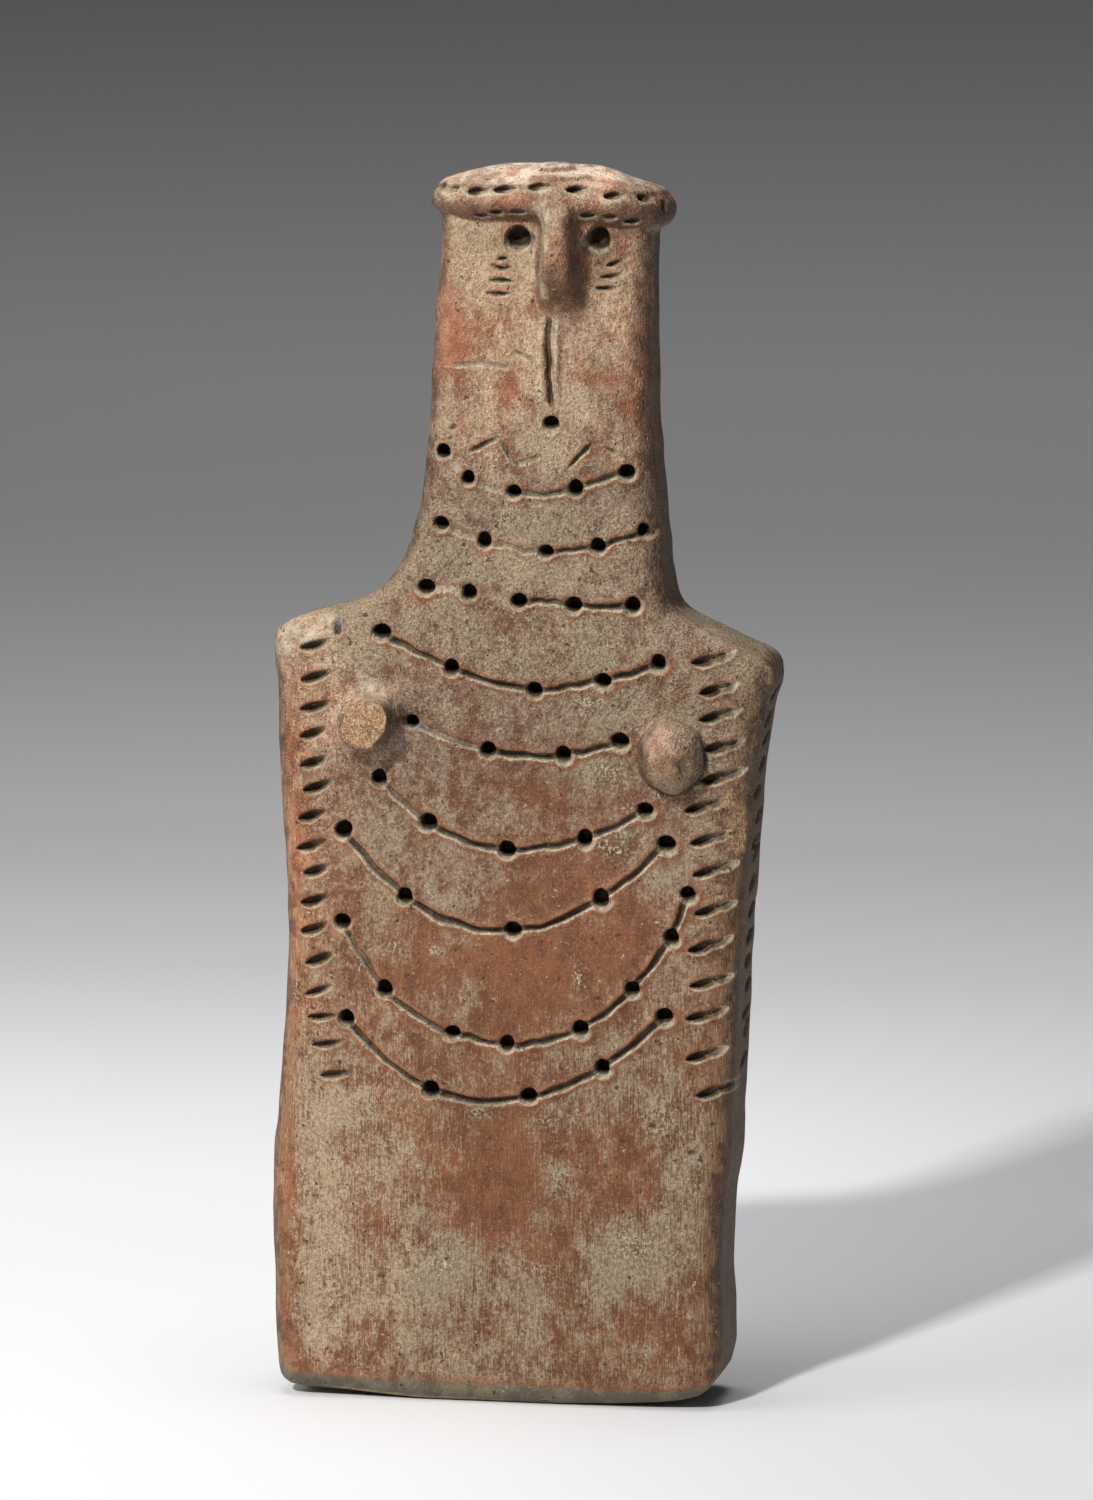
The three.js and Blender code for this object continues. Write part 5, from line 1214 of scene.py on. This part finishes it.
az, el, dist = math.radians(11.0), math.radians(6.5), 1.400
toward = Vector((math.sin(az) * math.cos(el), -math.cos(az) * math.cos(el), math.sin(el)))
right_ = Vector((0, 0, 1)).cross(toward).normalized()
up_ = toward.cross(right_)
cam_data = bpy.data.cameras.new("camera")
cam_data.sensor_width = 36
cam_data.lens = 160
cam_data.clip_start = 0.05
cam_data.clip_end = 30
cam = bpy.data.objects.new("camera", cam_data)
cam.location = to_m(0, 0, 128) + toward * dist + right_ * 0.0049 + up_ * 0.00876
cam.rotation_euler = toward.to_track_quat("Z", "Y").to_euler()
bpy.context.scene.collection.objects.link(cam)
bpy.context.scene.camera = cam


def area(name, where, at, size, power, colour=(1, 1, 1), size_y=None):
    d = bpy.data.lights.new(name, "AREA")
    d.energy = power
    d.color = colour
    d.size = size
    if size_y:
        d.shape = "RECTANGLE"
        d.size_y = size_y
    o = bpy.data.objects.new(name, d)
    o.location = where
    o.rotation_euler = (Vector(where) - Vector(at)).to_track_quat("Z", "Y").to_euler()
    bpy.context.scene.collection.objects.link(o)
    return o


def around(azimuth, elevation, r):
    a, e = math.radians(azimuth), math.radians(elevation)
    return Vector((math.sin(a) * math.cos(e) * r, -math.cos(a) * math.cos(e) * r, math.sin(e) * r + 0.13))


area("key", around(-15.5, 36.2, 2.6), (0, 0, 0.13), 0.17, 55.5, (1.0, 0.985, 0.965))
area("left", around(-62, 30, 0.8), (0, 0, 0.13), 0.5, 2.1, (1.0, 0.985, 0.965))
area("top", around(30, 84, 1.2), (0, 0, 0.2), 0.6, 4.6, (0.985, 0.99, 1.0))
behind = area("backdrop", (-0.15, 0.42, 1.25), (-0.15, 0.42, 0.0), 0.8, 1.0)
behind.data.spread = math.radians(80)

world = bpy.data.worlds.new("studio")
world.use_nodes = True
world.node_tree.nodes["Background"].inputs[0].default_value = (0.9, 0.95, 1.0, 1)
world.node_tree.nodes["Background"].inputs[1].default_value = 0.050
bpy.context.scene.world = world

# floor and backdrop: one sweep, pale in front and painted darker up the wall behind as painted light falloff
prof_y = [-2.6, 0.9]
pts = [(-2.6, 0.0), (0.9, 0.0)]
R_SWEEP = 0.9
for i in range(1, 25):
    a = math.radians(90 * i / 24)
    pts.append((0.9 + R_SWEEP * math.sin(a), R_SWEEP * (1 - math.cos(a))))
pts.append((1.8, 3.2))
sv, sf = [], []
for i, (py, pz) in enumerate(pts):
    sv += [(-3.2, py, pz), (3.2, py, pz)]
    if i:
        sf.append((2 * i - 2, 2 * i - 1, 2 * i + 1, 2 * i))
sweep_mesh = bpy.data.meshes.new("sweep")
sweep_mesh.from_pydata(sv, [], sf)
sweep_mesh.shade_smooth()
sweep = bpy.data.objects.new("sweep", sweep_mesh)
bpy.context.scene.collection.objects.link(sweep)
paper = bpy.data.materials.new("paper")
paper.use_nodes = True
nt = paper.node_tree
L = nt.links
bs = nt.nodes["Principled BSDF"]
bs.inputs["Roughness"].default_value = 0.9
bs.inputs["Specular IOR Level"].default_value = 0.1
g = node("ShaderNodeTexCoord").outputs["Object"]
s2 = node("ShaderNodeSeparateXYZ", in_Vector=g)
sweep_at = math_("ADD", s2.outputs[1], s2.outputs[2])
far = ramp(sweep_at, 0.0, 2.2, smooth=False)
cr = node("ShaderNodeValToRGB", in_Fac=far)
# the paper's colour along the sweep, darkened with distance from the front as painted light falloff, and how it departs
# from an even fade
PAINTED_FALLOFF = [(0.0, 1.0), (0.14, 1.0), (0.24, 1.04), (0.34, 1.02), (0.47, .96), (0.60, .91), (0.77, .99), (0.96, 1.16), (1.08, 1.12),
        (1.18, 1.05), (1.27, .97), (1.35, .93), (1.43, .97), (1.50, 1.04), (1.57, 1.04), (1.64, 1.01), (1.71, .95), (1.78, .87),
        (1.85, .78), (2.2, .74)]
for i, (w_, k_) in enumerate(PAINTED_FALLOFF):
    s_ = w_ / 2.2
    tone_and_light = (0.88 - 0.71 * s_ * s_ * (3 - 2 * s_)) * k_
    stop = cr.color_ramp.elements[0] if i == 0 else cr.color_ramp.elements[-1] if i == len(PAINTED_FALLOFF) - 1 else cr.color_ramp.elements.new(s_)
    stop.position = s_
    stop.color = (tone_and_light, tone_and_light * 1.003, min(tone_and_light * 1.025, 0.92), 1)
# to the right the paper is painted darker near the front and lighter further back: painted shade and light
across = ramp(s2.outputs[0], -0.03, 0.12)
painted_side_falloff = math_("MULTIPLY", across, total(ramp(sweep_at, 0.70, 0.20, 0.0, -0.15), ramp(sweep_at, 1.15, 1.42, 0.0, 0.17)))
cr_out = mix(1.0, cr.outputs[0], node("ShaderNodeCombineXYZ", in_0=math_("ADD", painted_side_falloff, 1.0), in_1=math_("ADD", painted_side_falloff, 1.0),
                                      in_2=math_("ADD", painted_side_falloff, 1.0)).outputs[0], blend="MULTIPLY")
L.new(cr_out, bs.inputs["Base Color"])
sweep_mesh.materials.append(paper)

bpy.context.scene.view_settings.view_transform = "Standard"
bpy.context.scene.view_settings.look = "None"
